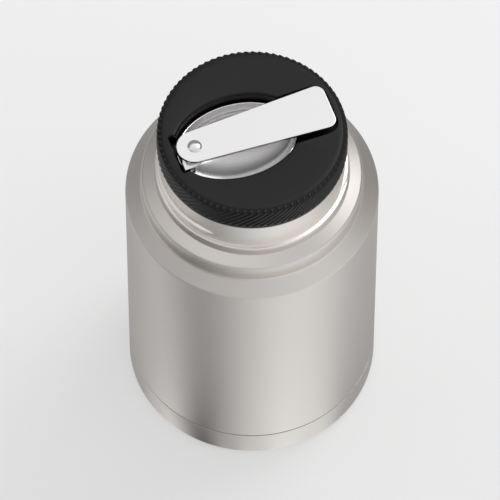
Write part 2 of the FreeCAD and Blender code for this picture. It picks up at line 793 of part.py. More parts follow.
def make_spoon_handle():
    """The flat handle: round end on the pivot, edges that widen to a square tip."""
    body = new_body("handle_plate")
    end = "handle_end_radius"
    tip = HANDLE_TIP
    wide = "handle_tip_half_width"
    corner = "handle_corner"
    plan = [
        (f"{tip} - {corner}", f"-1 * {wide}"),
        (tip, f"{corner} - {wide}", corner, 1),
        (tip, f"{wide} - {corner}"),
        (f"{tip} - {corner}", wide, corner, 1),
        (PIVOT, end),
        (f"{PIVOT} - {end}", "0", end, 1),
        (PIVOT, f"-1 * {end}", end, 1),
    ]
    padded(body, "plan", plan, "handle_thickness", lift=HANDLE_FOOT)
    hole = new_body("handle_hole")
    bore = "rivet_radius + pivot_play"
    through = "handle_thickness + 2 * cut_excess"
    padded_disc(hole, "pivot_bore", PIVOT, bore, f"{HANDLE_FOOT} - cut_excess", through)
    handle = boolean("Part::Cut", "spoon_handle", body, hole)
    turn_to_spoon(handle)
    return handle


def turned_on_pivot(label, corners):
    """A small round piece made on the pivot's own axis."""
    body = new_body(label)
    turned(body, corners)
    body.setExpression("Placement.Base.x", tie(f"{PIVOT} * cos(spoon_angle * 1deg)"))
    body.setExpression("Placement.Base.y", tie(f"{PIVOT} * sin(spoon_angle * 1deg)"))
    doc.recompute()
    return body


def make_spoon_rivet():
    """The rivet: domed head over the handle, shank, and the head closed under the seat."""
    seat_foot = f"({TANG_TOP} - spoon_sheet - pivot_play)"
    head_foot = f"({HANDLE_TOP} + pivot_play)"
    corners = [
        ("0", f"{seat_foot} - rivet_head_height * 0.8"),
        ("rivet_head_radius", f"{seat_foot} - rivet_head_height * 0.8"),
        ("rivet_head_radius", seat_foot),
        ("rivet_radius", seat_foot),
        ("rivet_radius", head_foot),
        ("rivet_head_radius", head_foot),
        ("0", f"{head_foot} + rivet_head_height", "(rivet_head_radius^2 + rivet_head_height^2) / (2 * rivet_head_height)", 1),
    ]
    return turned_on_pivot("spoon_rivet", corners)


def make_pivot_washer():
    """The thin washer that keeps the handle off its seat."""
    corners = [
        ("rivet_radius + pivot_play", TANG_TOP),
        ("washer_radius", TANG_TOP),
        ("washer_radius", WASHER_TOP),
        ("rivet_radius + pivot_play", WASHER_TOP),
    ]
    return turned_on_pivot("pivot_washer", corners)


makers = (
    make_outer_shell,
    make_base_cap,
    make_vacuum_bottom,
    make_port_seal,
    make_inner_vessel,
    make_foil_wrap,
    make_getter,
    make_stopper_cap,
    make_stopper_plug,
    make_stopper_seal,
    make_stopper_foam,
    make_spoon_bowl,
    make_spoon_handle,
    make_spoon_rivet,
    make_pivot_washer,
)
pieces = [make() for make in makers]
doc.recompute()

faults = [item.Name for item in doc.Objects if {"Invalid", "Error"} & set(item.State)]
faults += [piece.Label for piece in pieces if piece.Shape.isNull() or not piece.Shape.isValid()]
if faults:
    raise RuntimeError(f"failed: {faults}")

os.makedirs("parts", exist_ok=True)
for piece in pieces:
    piece.Shape.exportStep(os.path.join("parts", f"{piece.Label}.step"))
    solids = piece.Shape.Solids
    print(f"{piece.Label}: {len(solids)} solid, {piece.Shape.Volume:.1f} mm3")
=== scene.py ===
import math

import bmesh
import bpy
from bpy.props import FloatProperty, FloatVectorProperty, IntProperty, PointerProperty
from mathutils import Matrix, Vector


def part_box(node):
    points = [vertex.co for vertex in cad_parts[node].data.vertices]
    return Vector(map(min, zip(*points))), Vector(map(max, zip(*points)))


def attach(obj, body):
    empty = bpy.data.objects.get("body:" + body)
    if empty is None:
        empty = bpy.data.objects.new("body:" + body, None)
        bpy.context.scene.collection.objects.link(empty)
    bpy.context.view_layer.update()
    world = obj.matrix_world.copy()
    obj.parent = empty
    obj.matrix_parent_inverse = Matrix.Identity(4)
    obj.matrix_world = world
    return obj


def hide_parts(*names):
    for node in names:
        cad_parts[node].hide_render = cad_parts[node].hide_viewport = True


bl_info = {
    "name": "Insulated food jar",
    "version": (1, 0, 0),
    "blender": (4, 5, 0),
    "location": "3D View > Sidebar > Food jar",
    "description": "Builds a steel food jar with a ribbed stopper and a folding spoon round its frame",
    "category": "Add Mesh",
}

MM = 0.001
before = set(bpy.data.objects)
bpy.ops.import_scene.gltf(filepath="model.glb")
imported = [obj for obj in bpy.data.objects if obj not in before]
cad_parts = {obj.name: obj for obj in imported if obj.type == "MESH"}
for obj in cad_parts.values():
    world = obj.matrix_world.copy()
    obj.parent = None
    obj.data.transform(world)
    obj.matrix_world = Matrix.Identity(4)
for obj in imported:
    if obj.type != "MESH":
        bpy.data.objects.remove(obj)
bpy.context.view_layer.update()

SHELL_LOW, SHELL_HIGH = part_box("outer_shell")
BASE_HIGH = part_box("base_cap")[1]
LINER_LOW, LINER_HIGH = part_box("inner_vessel")
CAP_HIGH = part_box("stopper_cap")[1]
PLUG_LOW, PLUG_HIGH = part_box("stopper_plug")
WASHER_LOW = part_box("pivot_washer")[0]
HANDLE_LOW, HANDLE_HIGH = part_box("spoon_handle")
RIVET_LOW, RIVET_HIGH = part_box("spoon_rivet")

BODY_RADIUS = SHELL_HIGH.x
LINER_RADIUS = LINER_HIGH.x
MOUTH_LEVEL = LINER_HIGH.z
CAP_RADIUS = CAP_HIGH.x
CAP_FOOT = PLUG_HIGH.z
CAP_FACE = CAP_HIGH.z
PIVOT = (RIVET_LOW + RIVET_HIGH) / 2
PIVOT_ALONG = -math.hypot(PIVOT.x, PIVOT.y)

BODY_SEGMENTS = 256
STOPPER_SEGMENTS = 224
PLUG_SEGMENTS = 192
RIVET_SEGMENTS = 64
HOLE_SEGMENTS = 48
CREASE = 38.0


# Brightness of the studio by the bearing in degrees of the face that shows it: low down for the jar's
# upright walls, painted on the floor as a glow that only reflections see, and higher up for its sloping
# shoulder
PAINTED_FLOOR_REFLECTIONS = (
    (-90, 0.40), (-62, 0.45), (-53, 0.62), (-42, 0.80), (-23, 0.18), (-10, 0.50),
    (0, 0.74), (15, 0.98), (33, 0.88), (50, 0.46), (90, 0.44),
)
HIGH_WALLS = (
    (-90, 0.28), (-75, 0.22), (-60, 0.90), (-50, 0.62), (-38, 0.10), (-28, 0.18), (-10, 0.60),
    (0, 0.70), (30, 0.98), (45, 1.0), (56, 0.85), (70, 0.10), (90, 0.28),
)
HIGH_SPREAD = 1.45

# The key lamp: where it stands and aims in metres, its span in metres and its power in watts
KEY_PLACE = Vector((1.3, 1.1, 2.0))
KEY_AIM = Vector((0.0, 0.0, 0.1))
KEY_SPAN = 1.5
KEY_POWER = 19.0
FLOOR_REACH = 6.0

# The camera's lens in millimetres, its place in metres, and its own right and up
LENS = 491.1
CAMERA_PLACE = Vector((0.000438, -1.34338, 2.39303))
CAMERA_RIGHT = Vector((0.99999621, 0.00257017, 0.00098699))
CAMERA_UP = Vector((-0.00271842, 0.8649687, 0.50181845))


# Properties


def length(name, description, default_mm):
    return FloatProperty(
        name=name, description=description, default=default_mm * MM, unit="LENGTH", precision=5
    )


def angle(name, description, degrees):
    return FloatProperty(
        name=name, description=description, default=math.radians(degrees), subtype="ANGLE"
    )


def share(name, description, default):
    return FloatProperty(name=name, description=description, default=default, min=0)


def colour(name, description, default):
    return FloatVectorProperty(
        name=name, description=description, default=default, subtype="COLOR", min=0, max=1
    )


class FOODJAR_PG_vessel(bpy.types.PropertyGroup):
    """Sizes of the outer vessel, its base and the food vessel inside"""

    wall: length("Wall", "Thickness of the outer sheet", 0.8)
    seam_edge: length("Seam edge", "Rounding of the two edges at the base seam", 0.12)
    seam_gap: length("Seam gap", "Width of the dark groove at the base seam", 0.5)
    shoulder: length("Shoulder", "Height of the body's straight wall", 124.4)
    shoulder_round: length("Shoulder rounding", "Rounding between the wall and the cone", 1.0)
    cone_run: length("Cone run", "How far the shoulder goes in", 4.7)
    cone_rise: length("Cone rise", "How far the shoulder rises", 4.2)
    cone_overrun: length("Cone overrun", "How far the step's foot lies over the cone", 0.2)
    step_fillet: length("Step fillet", "Inner rounding at the foot of the step", 1.4)
    step_rise: length("Step rise", "Height of the step to the bead", 6.6)
    bead: length("Bead", "Rounding of the bead on the step", 1.7)
    inner_shoulder: length("Inner shoulder", "Rounding of the shoulder's inside", 0.5)
    inner_step: length("Inner step", "Rounding inside at the foot of the step", 0.6)
    inner_bead: length("Inner bead", "Rounding inside the bead", 0.8)
    plateau_run: length("Plateau run", "Width of the sloping plateau", 3.7)
    plateau_rise: length("Plateau rise", "Rise of the plateau to the collar", 3.11)
    plateau_start: share("Plateau start", "Part of that rise which the bead's edge has already", 0.28)
    collar_height: length("Collar height", "Height of the collar under the thread", 3.7)
    collar_foot: length("Collar foot", "Inner rounding at the collar's foot", 0.35)
    collar_edge: length("Collar edge", "Rounding of the collar's upper edge", 0.7)
    collar_inset: length("Collar inset", "Step from the collar in to the neck", 1.8)
    neck_foot: length("Neck foot", "Inner rounding at the neck's foot", 0.4)
    neck_foot_lift: length("Neck foot lift", "How far the neck's foot lies over the collar", 0.3)
    lip: length("Lip", "Height of the rolled mouth", 0.8)
    lip_round: length("Lip rounding", "Outer rounding of the rolled mouth", 0.76)
    base_round: length("Base rounding", "Rounding at the foot of the base", 3.5)
    base_rim: length("Base rim", "Width from the wall to the base's raised middle", 8.0)
    base_recess: length("Base recess", "Height of the base's raised middle", 1.6)
    base_edge: length("Base edge", "Rounding where the base's raised middle begins", 0.6)
    base_floor: length("Base floor", "Thickness of the base's rim", 1.6)
    base_inner_edge: length("Base inner edge", "Roundings of the base's inside", 0.4)
    lap_round: length("Lap rounding", "Rounding inside at the lap's foot", 1.9)
    lap_wall: length("Lap wall", "Thickness of the base's lap inside the outer wall", 0.56)
    lap_play: length("Lap play", "Play between the base's lap and the outer wall", 0.25)
    liner_wall: length("Liner wall", "Thickness of the food vessel", 0.6)
    liner_round: length("Liner rounding", "Rounding of the food vessel's floor", 12.0)
    liner_shoulder: length("Liner shoulder", "Rounding of the food vessel's shoulder", 1.2)
    liner_inner_shoulder: length("Liner inner shoulder", "Rounding of that shoulder's inside", 1.0)
    slope_share: share("Slope share", "Part of the wall by which the inner shoulder lies lower", 0.4)
    liner_drop: length("Liner drop", "How far the food vessel's shoulder lies under the outer one", 3.0)
    mouth_inset: length("Mouth inset", "From the neck's outside to the mouth's bore", 1.8)
    land_inset: length("Land inset", "Step from the bore in to the sealing land", 0.9)
    land_top: length("Land top", "Depth of the sealing land below the mouth", 20.0)
    land_edge: length("Land edge", "Roundings of the sealing land towards the bore", 0.4)
    land_outer_edge: length("Land outer edge", "Roundings of its upper end on the outside", 0.5)
    land_outer_foot: length("Land outer foot", "Rounding of its lower end on the outside", 0.8)
    land_length: length("Land length", "Height of the sealing land", 7.0)
    thread_lift: length("Thread lift", "Height of the cup thread's start over the plateau", 4.7)
    thread_pitch: length("Thread pitch", "Rise of the cup thread in a turn", 4.4)
    thread_depth: length("Thread depth", "How far the cup thread stands out", 1.5)
    thread_width: length("Thread width", "Width of the cup thread at its foot", 2.6)
    thread_start: angle("Thread start", "Where the cup thread starts", 340.0)
    thread_turns: share("Thread turns", "Turns of the cup thread", 0.74)


class FOODJAR_PG_stopper(bpy.types.PropertyGroup):
    """Sizes of the stopper, its grip and its screw"""

    ribs: IntProperty(name="Ribs", description="Ribs round the grip", default=84, min=3)
    rib_depth: length("Rib depth", "How far the ribs stand out", 0.45)
    rib_lean: angle("Rib lean", "Angle of the ribs over the level", 42.0)
    rib_foot: share("Rib foot", "Part of a rib's rounding that lies under its start", 0.8)
    rib_top: share("Rib top", "Part of the edge drop at which the ribs end", 0.45)
    rib_tuck: length("Rib tuck", "How far the ribs' ends lean in over the edge", 0.7)
    edge_run: length("Edge run", "How far the top's rounded edge goes in", 2.1)
    edge_drop: length("Edge drop", "How far the top's rounded edge drops", 1.2)
    edge_foot: length("Edge foot", "Rounding where the edge leaves the side", 0.5)
    edge_bend: length("Edge bend", "Rounding of the edge itself", 0.9)
    face_inset: length("Face inset", "From the ribs to the flat of the face", 3.36)
    face_drop: length("Face drop", "Fall of the face from its flat to the edge", 0.1)
    face_bend: length("Face bend", "Rounding where the flat of the face ends", 1.6)
    cap_foot_edge: length("Cap foot", "Rounding of the cap's lower edge", 0.3)
    wall: length("Plug wall", "Thickness of the plug", 1.6)
    foot_round: length("Plug rounding", "Rounding of the plug's foot", 2.4)
    plug_inset: length("Plug inset", "From the mouth's bore to the plug's wall", 2.3)
    groove_offset: length("Groove offset", "Height of the seal's groove over the foot", 3.2)
    groove_width: length("Groove width", "Width of the seal's groove", 3.6)
    groove_depth: length("Groove depth", "Depth of the seal's groove", 1.6)
    groove_edge: length("Groove edge", "Rounding of the groove's two edges", 0.25)
    screw_lead: length("Screw lead", "Rise of the stopper's thread in a turn", 12.0)
    screw_drop: length("Screw drop", "Depth of the screw's start below the mouth", 12.8)
    screw_width: length("Screw width", "Width of the stopper's thread", 1.7)
    screw_depth: length("Screw depth", "Height of the stopper's thread", 0.9)
    screw_play: length("Screw play", "Play between the two threads", 0.4)
    screw_turns: share("Screw turns", "Turns of each thread", 0.6)
    screw_starts: IntProperty(name="Screw starts", description="Number of equal threads", default=2, min=1)


class FOODJAR_PG_spoon(bpy.types.PropertyGroup):
    """Sizes of the folding spoon and the recess that it lies in"""

    lie: angle("Lie", "Direction in which the spoon lies in the stopper", 20.3)
    bowl_centre: length("Bowl centre", "Middle of the bowl along the spoon", -6.0)
    bowl_half_length: length("Bowl half length", "Half of the bowl's length", 24.0)
    bowl_half_width: length("Bowl half width", "Half of the bowl's width", 17.0)
    bowl_depth: length("Bowl depth", "Depth of the bowl", 9.5)
    bowl_drop: length("Bowl drop", "Depth of the bowl's rim below the stopper's face", 4.5)
    recess_play: length("Recess play", "Room round the bowl", 0.8)
    recess_floor: length("Recess floor", "Room under the bowl", 0.25)
    recess_lip: length("Recess lip", "Width of the eased edge of the recess", 1.1)
    recess_wall: length("Recess wall", "Thickness of the tray under the recess", 1.4)
    slot_half_width: length("Slot half width", "Half of the handle slot's width", 10.9)
    slot_reach: length("Slot reach", "End of the handle slot along the spoon", 32.2)
    slot_corner: length("Slot corner", "Corner rounding of the handle slot", 5.0)
    slot_depth: length("Slot depth", "Depth of the handle slot", 3.6)
    slot_flare: length("Slot flare", "Widening of the handle slot's upper edge", 0.35)
    pocket_end: length("Pocket end", "End of the pocket for the spoon's seat", -31.2)
    pocket_half_width: length("Pocket half width", "Half of the pocket's width", 8.6)
    pocket_corner: length("Pocket corner", "Corner rounding of the pocket", 1.0)
    pocket_depth: length("Pocket depth", "Depth of the pocket below the bowl's rim", 2.0)
    pocket_flare: length("Pocket flare", "Widening of the pocket's upper edge", 0.3)
    sheet: length("Sheet", "Thickness of the bowl's sheet", 1.0)
    seat_end: length("Seat end", "End of the seat along the spoon", -29.5)
    seat_depth: length("Seat depth", "Depth of the seat's foot along the spoon", 4.1)
    seat_near: length("Seat near side", "Width of the seat's foot on the near side of the spoon", 6.9)
    seat_far: length("Seat far side", "Width of the seat's foot on the far side of the spoon", 4.2)
    seat_slope: length("Seat slope", "Height over which the seat's foot turns into its plate", 0.6)
    seat_plate: length("Seat plate", "Radius of the seat's plate under the handle", 6.2)
    handle_end: length("Handle end", "Radius of the handle's round end", 6.95)
    handle_tip: length("Handle tip", "End of the handle along the spoon", 31.6)
    handle_tip_half: length("Handle tip half width", "Half of the handle's width at its tip", 9.8)
    handle_corner: length("Handle corner", "Corner rounding of the handle's tip", 3.6)
    handle_edge: length("Handle edge", "Easing of the handle's edges", 0.22)
    rivet_head: length("Rivet head", "Radius of the rivet's head", 2.75)
    rivet_shank: length("Rivet shank", "Radius of the rivet's shank", 1.8)
    rivet_dome: length("Rivet dome", "Height of the rivet's head", 1.0)
    rivet_foot: length("Rivet foot", "Height of the rivet's lower head", 0.8)
    rivet_edge: length("Rivet edge", "Rounding of the rivet's lower head", 0.25)
    rivet_play: length("Rivet play", "Play between the rivet and the handle's hole", 0.05)


class FOODJAR_PG_finish(bpy.types.PropertyGroup):
    """Colours of the pieces and of the studio"""

    # The neck's colour is brighter than the shell's as a painted highlight: its steel is otherwise the
    # shell's
    neck: colour("Neck", "Bare steel of the neck", (0.97, 0.93, 0.89))
    shell: colour("Shell", "Satin steel of the outer vessel", (0.80, 0.765, 0.735))
    liner: colour("Liner", "Fine satin steel of the food vessel", (0.74, 0.73, 0.72))
    spoon: colour("Spoon", "Polished satin steel of the spoon", (0.84, 0.83, 0.83))
    dull: colour("Dull metal", "Matt metal of the seal bead and getter", (0.50, 0.49, 0.48))
    foil: colour("Foil", "Bright foil", (0.86, 0.87, 0.88))
    plastic: colour("Plastic", "Black moulded plastic", (0.003, 0.003, 0.003))
    silicone: colour("Silicone", "Grey silicone", (0.42, 0.43, 0.44))
    foam: colour("Foam", "Pale closed-cell foam", (0.80, 0.78, 0.72))
    nylon: colour("Nylon", "Natural nylon", (0.74, 0.74, 0.70))
    overhead: share("Overhead", "Brightness of the light overhead", 0.88)
    overhead_tilt: share("Overhead tilt", "How much brighter that light is behind the jar", 0.26)
    backdrop: colour("Backdrop", "Brightness that the camera sees on the floor", (0.96, 0.96, 0.96))
    backdrop_share: share("Backdrop share", "Part of the floor's brightness that is the backdrop's", 0.45)
    floor_far: colour("Floor, far", "Floor behind the jar", (0.90, 0.90, 0.90))
    # The floor is coloured darker in front of the jar than behind it: painted shade
    floor_near_painted_shade: colour("Floor, near", "Floor in front of the jar", (0.78, 0.78, 0.78))


# Shader and geometry trees


class Wire:
    """A node's output with Python's arithmetic on it."""

    def __init__(self, tree, socket):
        self.tree = tree
        self.socket = socket

    def joined(self, operation, first, second):
        return self.tree.node(
            "ShaderNodeMath", {"operation": operation}, {0: first, 1: second}, "Value"
        )

    def __add__(self, other):
        return self.joined("ADD", self, other)

    def __radd__(self, other):
        return self.joined("ADD", other, self)

    def __sub__(self, other):
        return self.joined("SUBTRACT", self, other)

    def __rsub__(self, other):
        return self.joined("SUBTRACT", other, self)

    def __mul__(self, other):
        return self.joined("MULTIPLY", self, other)

    def __rmul__(self, other):
        return self.joined("MULTIPLY", other, self)

    def __truediv__(self, other):
        return self.joined("DIVIDE", self, other)

    def __rtruediv__(self, other):
        return self.joined("DIVIDE", other, self)


class Tree:
    """A node tree, filled one node at a time."""

    def __init__(self, nodes):
        self.nodes = nodes

    def node(self, kind, settings=None, values=None, output=None):
        """Adds a node: its settings first, then its sockets. Gives the named output's wire, or the node."""
        made = self.nodes.nodes.new(kind)
        for key, value in (settings or {}).items():
            setattr(made, key, value)
        for key, value in (values or {}).items():
            if isinstance(value, Wire):
                self.nodes.links.new(value.socket, made.inputs[key])
            else:
                made.inputs[key].default_value = value
        return Wire(self, made.outputs[output]) if output else made

    def blend(self, part, first, second):
        """The colour that lies that part of the way from first to second."""
        mixed = self.node("ShaderNodeMix", {"data_type": "RGBA"}, {"Factor": part})
        for key, value in ((6, first), (7, second)):
            if isinstance(value, Wire):
                self.nodes.links.new(value.socket, mixed.inputs[key])
            else:
                mixed.inputs[key].default_value = (*value, 1)
        return Wire(self, mixed.outputs[2])


def new_material(name, tint):
    material = bpy.data.materials.new(name)
    material.use_nodes = True
    material.diffuse_color = (*tint, 1)
    material.node_tree.nodes.clear()
    return material, Tree(material.node_tree)


def closed_surface(tree, values):
    """Ends the tree in a principled surface with these sockets."""
    shader = tree.node("ShaderNodeBsdfPrincipled", None, values, "BSDF")
    tree.node("ShaderNodeOutputMaterial", None, {"Surface": shader})


def object_place(tree, stretch, turn=0.0):
    """Object coordinates stretched for a grain."""
    place = tree.node("ShaderNodeTexCoord", None, None, "Object")
    return tree.node(
        "ShaderNodeMapping", None, {"Vector": place, "Scale": stretch, "Rotation": (0, 0, turn)}, "Vector"
    )


def noise(tree, stretch, detail, turn=0.0):
    """Soft noise in Object coordinates."""
    place = object_place(tree, stretch, turn)
    return tree.node("ShaderNodeTexNoise", None, {"Vector": place, "Scale": 1.0, "Detail": detail}, "Fac")


def bumps(tree, height, strength, distance):
    """The normal that the height gives, for bumps of that distance in metres."""
    values = {"Strength": strength, "Distance": distance, "Height": height}
    return tree.node("ShaderNodeBump", None, values, "Normal")


def dimmed(tint, factor):
    return tuple(channel * factor for channel in tint)


def steel(name, tint, rough, stretch, anisotropy=0.0, turn=0.0, relief=0.01):
    """Brushed steel whose grain lies across the direction that is stretched most."""
    material, tree = new_material(name, tint)
    grain = noise(tree, stretch, 3.0, turn)
    broad = noise(tree, (14, 14, 9), 1.0, turn)
    normal = bumps(tree, grain, relief, 0.0002)
    closed_surface(tree, {
        "Base Color": tree.blend(grain * 0.6 + broad * 0.4, dimmed(tint, 0.95), tint),
        "Metallic": 1.0,
        "Roughness": grain * 0.08 + (rough - 0.04),
        "Anisotropic": anisotropy,
        "Normal": normal,
    })
    return material


def moulded(name, tint, rough, stretch, relief=0.05, gloss=0.5):
    """A moulded or cast material with a fine even grain."""
    material, tree = new_material(name, tint)
    grain = noise(tree, (stretch, stretch, stretch), 2.0)
    normal = bumps(tree, grain, relief, 0.0001)
    closed_surface(tree, {
        "Base Color": tree.blend(grain, dimmed(tint, 0.85), tint),
        "Roughness": grain * 0.1 + (rough - 0.05),
        "Specular IOR Level": gloss,
        "Normal": normal,
    })
    return material


def cellular_foam(name, tint):
    """Closed-cell foam: small pale cells with darker walls."""
    material, tree = new_material(name, tint)
    place = object_place(tree, (900, 900, 900))
    spots = {"Vector": place, "Scale": 1.0}
    cells = tree.node("ShaderNodeTexVoronoi", {"feature": "F1"}, spots, "Distance")
    normal = bumps(tree, cells, 0.4, 0.0003)
    closed_surface(tree, {
        "Base Color": tree.blend(cells, tint, dimmed(tint, 0.8)),
        "Roughness": 0.9,
        "Normal": normal,
    })
    return material


def crinkled_foil(name, tint):
    """Thin bright foil with soft creases."""
    material, tree = new_material(name, tint)
    creases = noise(tree, (160, 160, 60), 4.0)
    normal = bumps(tree, creases, 0.5, 0.0006)
    closed_surface(tree, {
        "Base Color": tree.blend(creases, dimmed(tint, 0.9), tint),
        "Metallic": 1.0,
        "Roughness": creases * 0.15 + 0.12,
        "Normal": normal,
    })
    return material


def finish(kind):
    """The material of that finish, made when it is first asked for."""
    name = f"{kind}_finish"
    if name in bpy.data.materials:
        return bpy.data.materials[name]
    tints = bpy.context.scene.foodjar_finish
    lie = bpy.context.scene.foodjar_spoon.lie
    makers = {
        "satin_steel": lambda: steel(
            name, tints.shell, rough=0.38, stretch=(60, 60, 5200), anisotropy=0.9, relief=0.02
        ),
        "neck_steel_painted_highlight": lambda: steel(
            name, tints.neck, rough=0.38, stretch=(60, 60, 5200), anisotropy=0.9, relief=0.02
        ),
        "liner_steel": lambda: steel(
            name, tints.liner, rough=0.36, stretch=(60, 60, 4200), anisotropy=0.8, relief=0.02
        ),
        "spoon_steel": lambda: steel(name, tints.spoon, rough=0.24, stretch=(90, 2600, 90), turn=-lie),
        "rivet_steel": lambda: steel(name, tints.spoon, rough=0.2, stretch=(300, 300, 300)),
        "dull_metal": lambda: steel(name, tints.dull, rough=0.5, stretch=(700, 700, 700), relief=0.08),
        "foil": lambda: crinkled_foil(name, tints.foil),
        "black_plastic": lambda: moulded(
            name, tints.plastic, rough=0.42, stretch=2600, relief=0.1, gloss=0.33
        ),
        "silicone": lambda: moulded(name, tints.silicone, rough=0.55, stretch=1200, gloss=0.4),
        "foam": lambda: cellular_foam(name, tints.foam),
        "nylon": lambda: moulded(name, tints.nylon, rough=0.45, stretch=1500),
    }
    return makers[kind]()


# Meshes


def rounded(corners, steps=6):
    """The closed line through the corners (across, up, rounding)."""
    line = []
    for index, (across, up, radius) in enumerate(corners):
        here = Vector((across, up))
        if radius <= 0:
            line.append(here)
            continue
        before = (Vector(corners[index - 1][:2]) - here).normalized()
        after = (Vector(corners[(index + 1) % len(corners)][:2]) - here).normalized()
        half = before.angle(after) / 2
        centre = here + (before + after).normalized() * (radius / math.sin(half))
        start = here + before * (radius / math.tan(half)) - centre
        end = here + after * (radius / math.tan(half)) - centre
        for step in range(steps + 1):
            turned = start.normalized().slerp(end.normalized(), step / steps)
            line.append(centre + turned * radius)
    return line


def new_piece(name, vertices, faces, material):
    """A closed mesh object with its normals outwards, smooth but for its creases."""
    mesh = bpy.data.meshes.new(name)
    mesh.from_pydata(vertices, [], faces)
    return settled(name, mesh, material)


def settled(name, mesh, material, crease=CREASE):
    """An object in the scene from the mesh: doubles merged, normals outwards, creases kept."""
    work = bmesh.new()
    work.from_mesh(mesh)
    bmesh.ops.remove_doubles(work, verts=work.verts, dist=1e-6)
    bmesh.ops.recalc_face_normals(work, faces=work.faces)
    work.to_mesh(mesh)
    work.free()
    mesh.shade_smooth()
    mesh.set_sharp_from_angle(angle=math.radians(crease))
    mesh.materials.clear()
    mesh.materials.append(material)
    made = bpy.data.objects.new(name, mesh)
    bpy.context.scene.collection.objects.link(made)
    return made


def turns_between(first, last, steps):
    """The angles that follow the first one, in even steps to the last one."""
    return [first + (last - first) * step / steps for step in range(1, steps + 1)]


def turned_rings(line, segments, centre=(0.0, 0.0)):
    """Vertices and faces of the closed line turned about the upright axis through the centre."""
    vertices = []
    rings = []
    for across, up in line:
        if across < 1e-7:
            rings.append([len(vertices)] * segments)
            vertices.append((centre[0], centre[1], up))
            continue
        rings.append(list(range(len(vertices), len(vertices) + segments)))
        for index in range(segments):
            turn = 2 * math.pi * index / segments
            vertices.append((centre[0] + across * math.cos(turn), centre[1] + across * math.sin(turn), up))
    faces = []
    for first, second in zip(rings, rings[1:] + rings[:1]):
        for index in range(segments):
            after = (index + 1) % segments
            corners = (first[index], first[after], second[after], second[index])
            kept = [corner for place, corner in enumerate(corners) if corner not in corners[:place]]
            if len(kept) > 2:
                faces.append(kept)
    return vertices, faces


def lathe(name, corners, material, segments, centre=(0.0, 0.0)):
    """A turned piece from its closed outline."""
    vertices, faces = turned_rings(rounded(corners), segments, centre)
    return new_piece(name, vertices, faces, material)


def stacked(name, rings, material):
    """A closed solid from rings of points, its two ends closed."""
    count = len(rings[0])
    vertices = [point for ring in rings for point in ring]
    faces = [list(range(count)), list(range(len(vertices) - count, len(vertices)))]
    for level in range(len(rings) - 1):
        for index in range(count):
            after = (index + 1) % count
            low, high = level * count, (level + 1) * count
            faces.append([low + index, low + after, high + after, high + index])
    return new_piece(name, vertices, faces, material)


def on_spoon(along, across, up):
    """A place given in the spoon's own direction."""
    lie = bpy.context.scene.foodjar_spoon.lie
    return (
        along * math.cos(lie) - across * math.sin(lie),
        along * math.sin(lie) + across * math.cos(lie),
        up,
    )


def ellipse_ring(half_length, half_width, up, count=128):
    """Points round an ellipse over the bowl's middle."""
    centre = bpy.context.scene.foodjar_spoon.bowl_centre
    turns = [2 * math.pi * index / count for index in range(count)]
    return [
        on_spoon(centre + half_length * math.cos(turn), half_width * math.sin(turn), up)
        for turn in turns
    ]


def dish_rings(half_length, half_width, depth, rim, steps=20):
    """Rings of a half ellipsoid from near its lowest point up to its rim."""
    rings = []
    for rise in turns_between(0, math.pi / 2, steps):
        width = math.sin(rise)
        rings.append(ellipse_ring(half_length * width, half_width * width, rim - depth * math.cos(rise)))
    return rings


def plate_line(corners, steps=8):
    """Points of a rounded plate outline along and across the spoon."""
    return [(point.x, point.y) for point in rounded(corners, steps)]


def prism(name, line, foot, top, flare, material):
    """A solid from the outline, which widens by the flare over its last stretch."""
    middle = Vector((sum(x for x, y in line) / len(line), sum(y for x, y in line) / len(line)))
    wide = []
    for along, across in line:
        away = Vector((along, across)) - middle
        wide.append(tuple(middle + away * (1 + flare / max(abs(away.x), abs(away.y)))))
    levels = [(line, foot), (line, CAP_FACE - flare), (wide, CAP_FACE), (wide, top)]
    rings = [[on_spoon(x, y, up) for x, y in outline] for outline, up in levels]
    return stacked(name, rings, material)


def carved(name, blank, steps, material):
    """The blank with each (operation, solid) applied in turn, as a plain mesh."""
    for operation, other in steps:
        modifier = blank.modifiers.new(operation, "BOOLEAN")
        modifier.operation = operation
        modifier.object = other
        modifier.solver = "EXACT"
    bpy.context.view_layer.update()
    mesh = bpy.data.meshes.new_from_object(blank.evaluated_get(bpy.context.evaluated_depsgraph_get()))
    mesh.name = name
    for item in [blank, *(other for operation, other in steps)]:
        bpy.data.objects.remove(item)
    return settled(name, mesh, material, 30.0)


def plain(name, source, material, crease=CREASE):
    """The source with its modifiers made a plain mesh."""
    bpy.context.view_layer.update()
    mesh = bpy.data.meshes.new_from_object(source.evaluated_get(bpy.context.evaluated_depsgraph_get()))
    bpy.data.objects.remove(source)
    return settled(name, mesh, material, crease)


# Ridges wound round the axis


RIDGE_INPUTS = (
    ("Radius", "NodeSocketFloat"),
    ("Rod", "NodeSocketFloat"),
    ("Foot", "NodeSocketFloat"),
    ("Rise", "NodeSocketFloat"),
    ("Sweep", "NodeSocketFloat"),
    ("Start", "NodeSocketFloat"),
    ("Taper", "NodeSocketFloat"),
    ("Tuck", "NodeSocketFloat"),
    ("Tuck share", "NodeSocketFloat"),
    ("Points", "NodeSocketInt"),
    ("Sides", "NodeSocketInt"),
    ("Copies", "NodeSocketInt"),
    ("Material", "NodeSocketMaterial"),
)


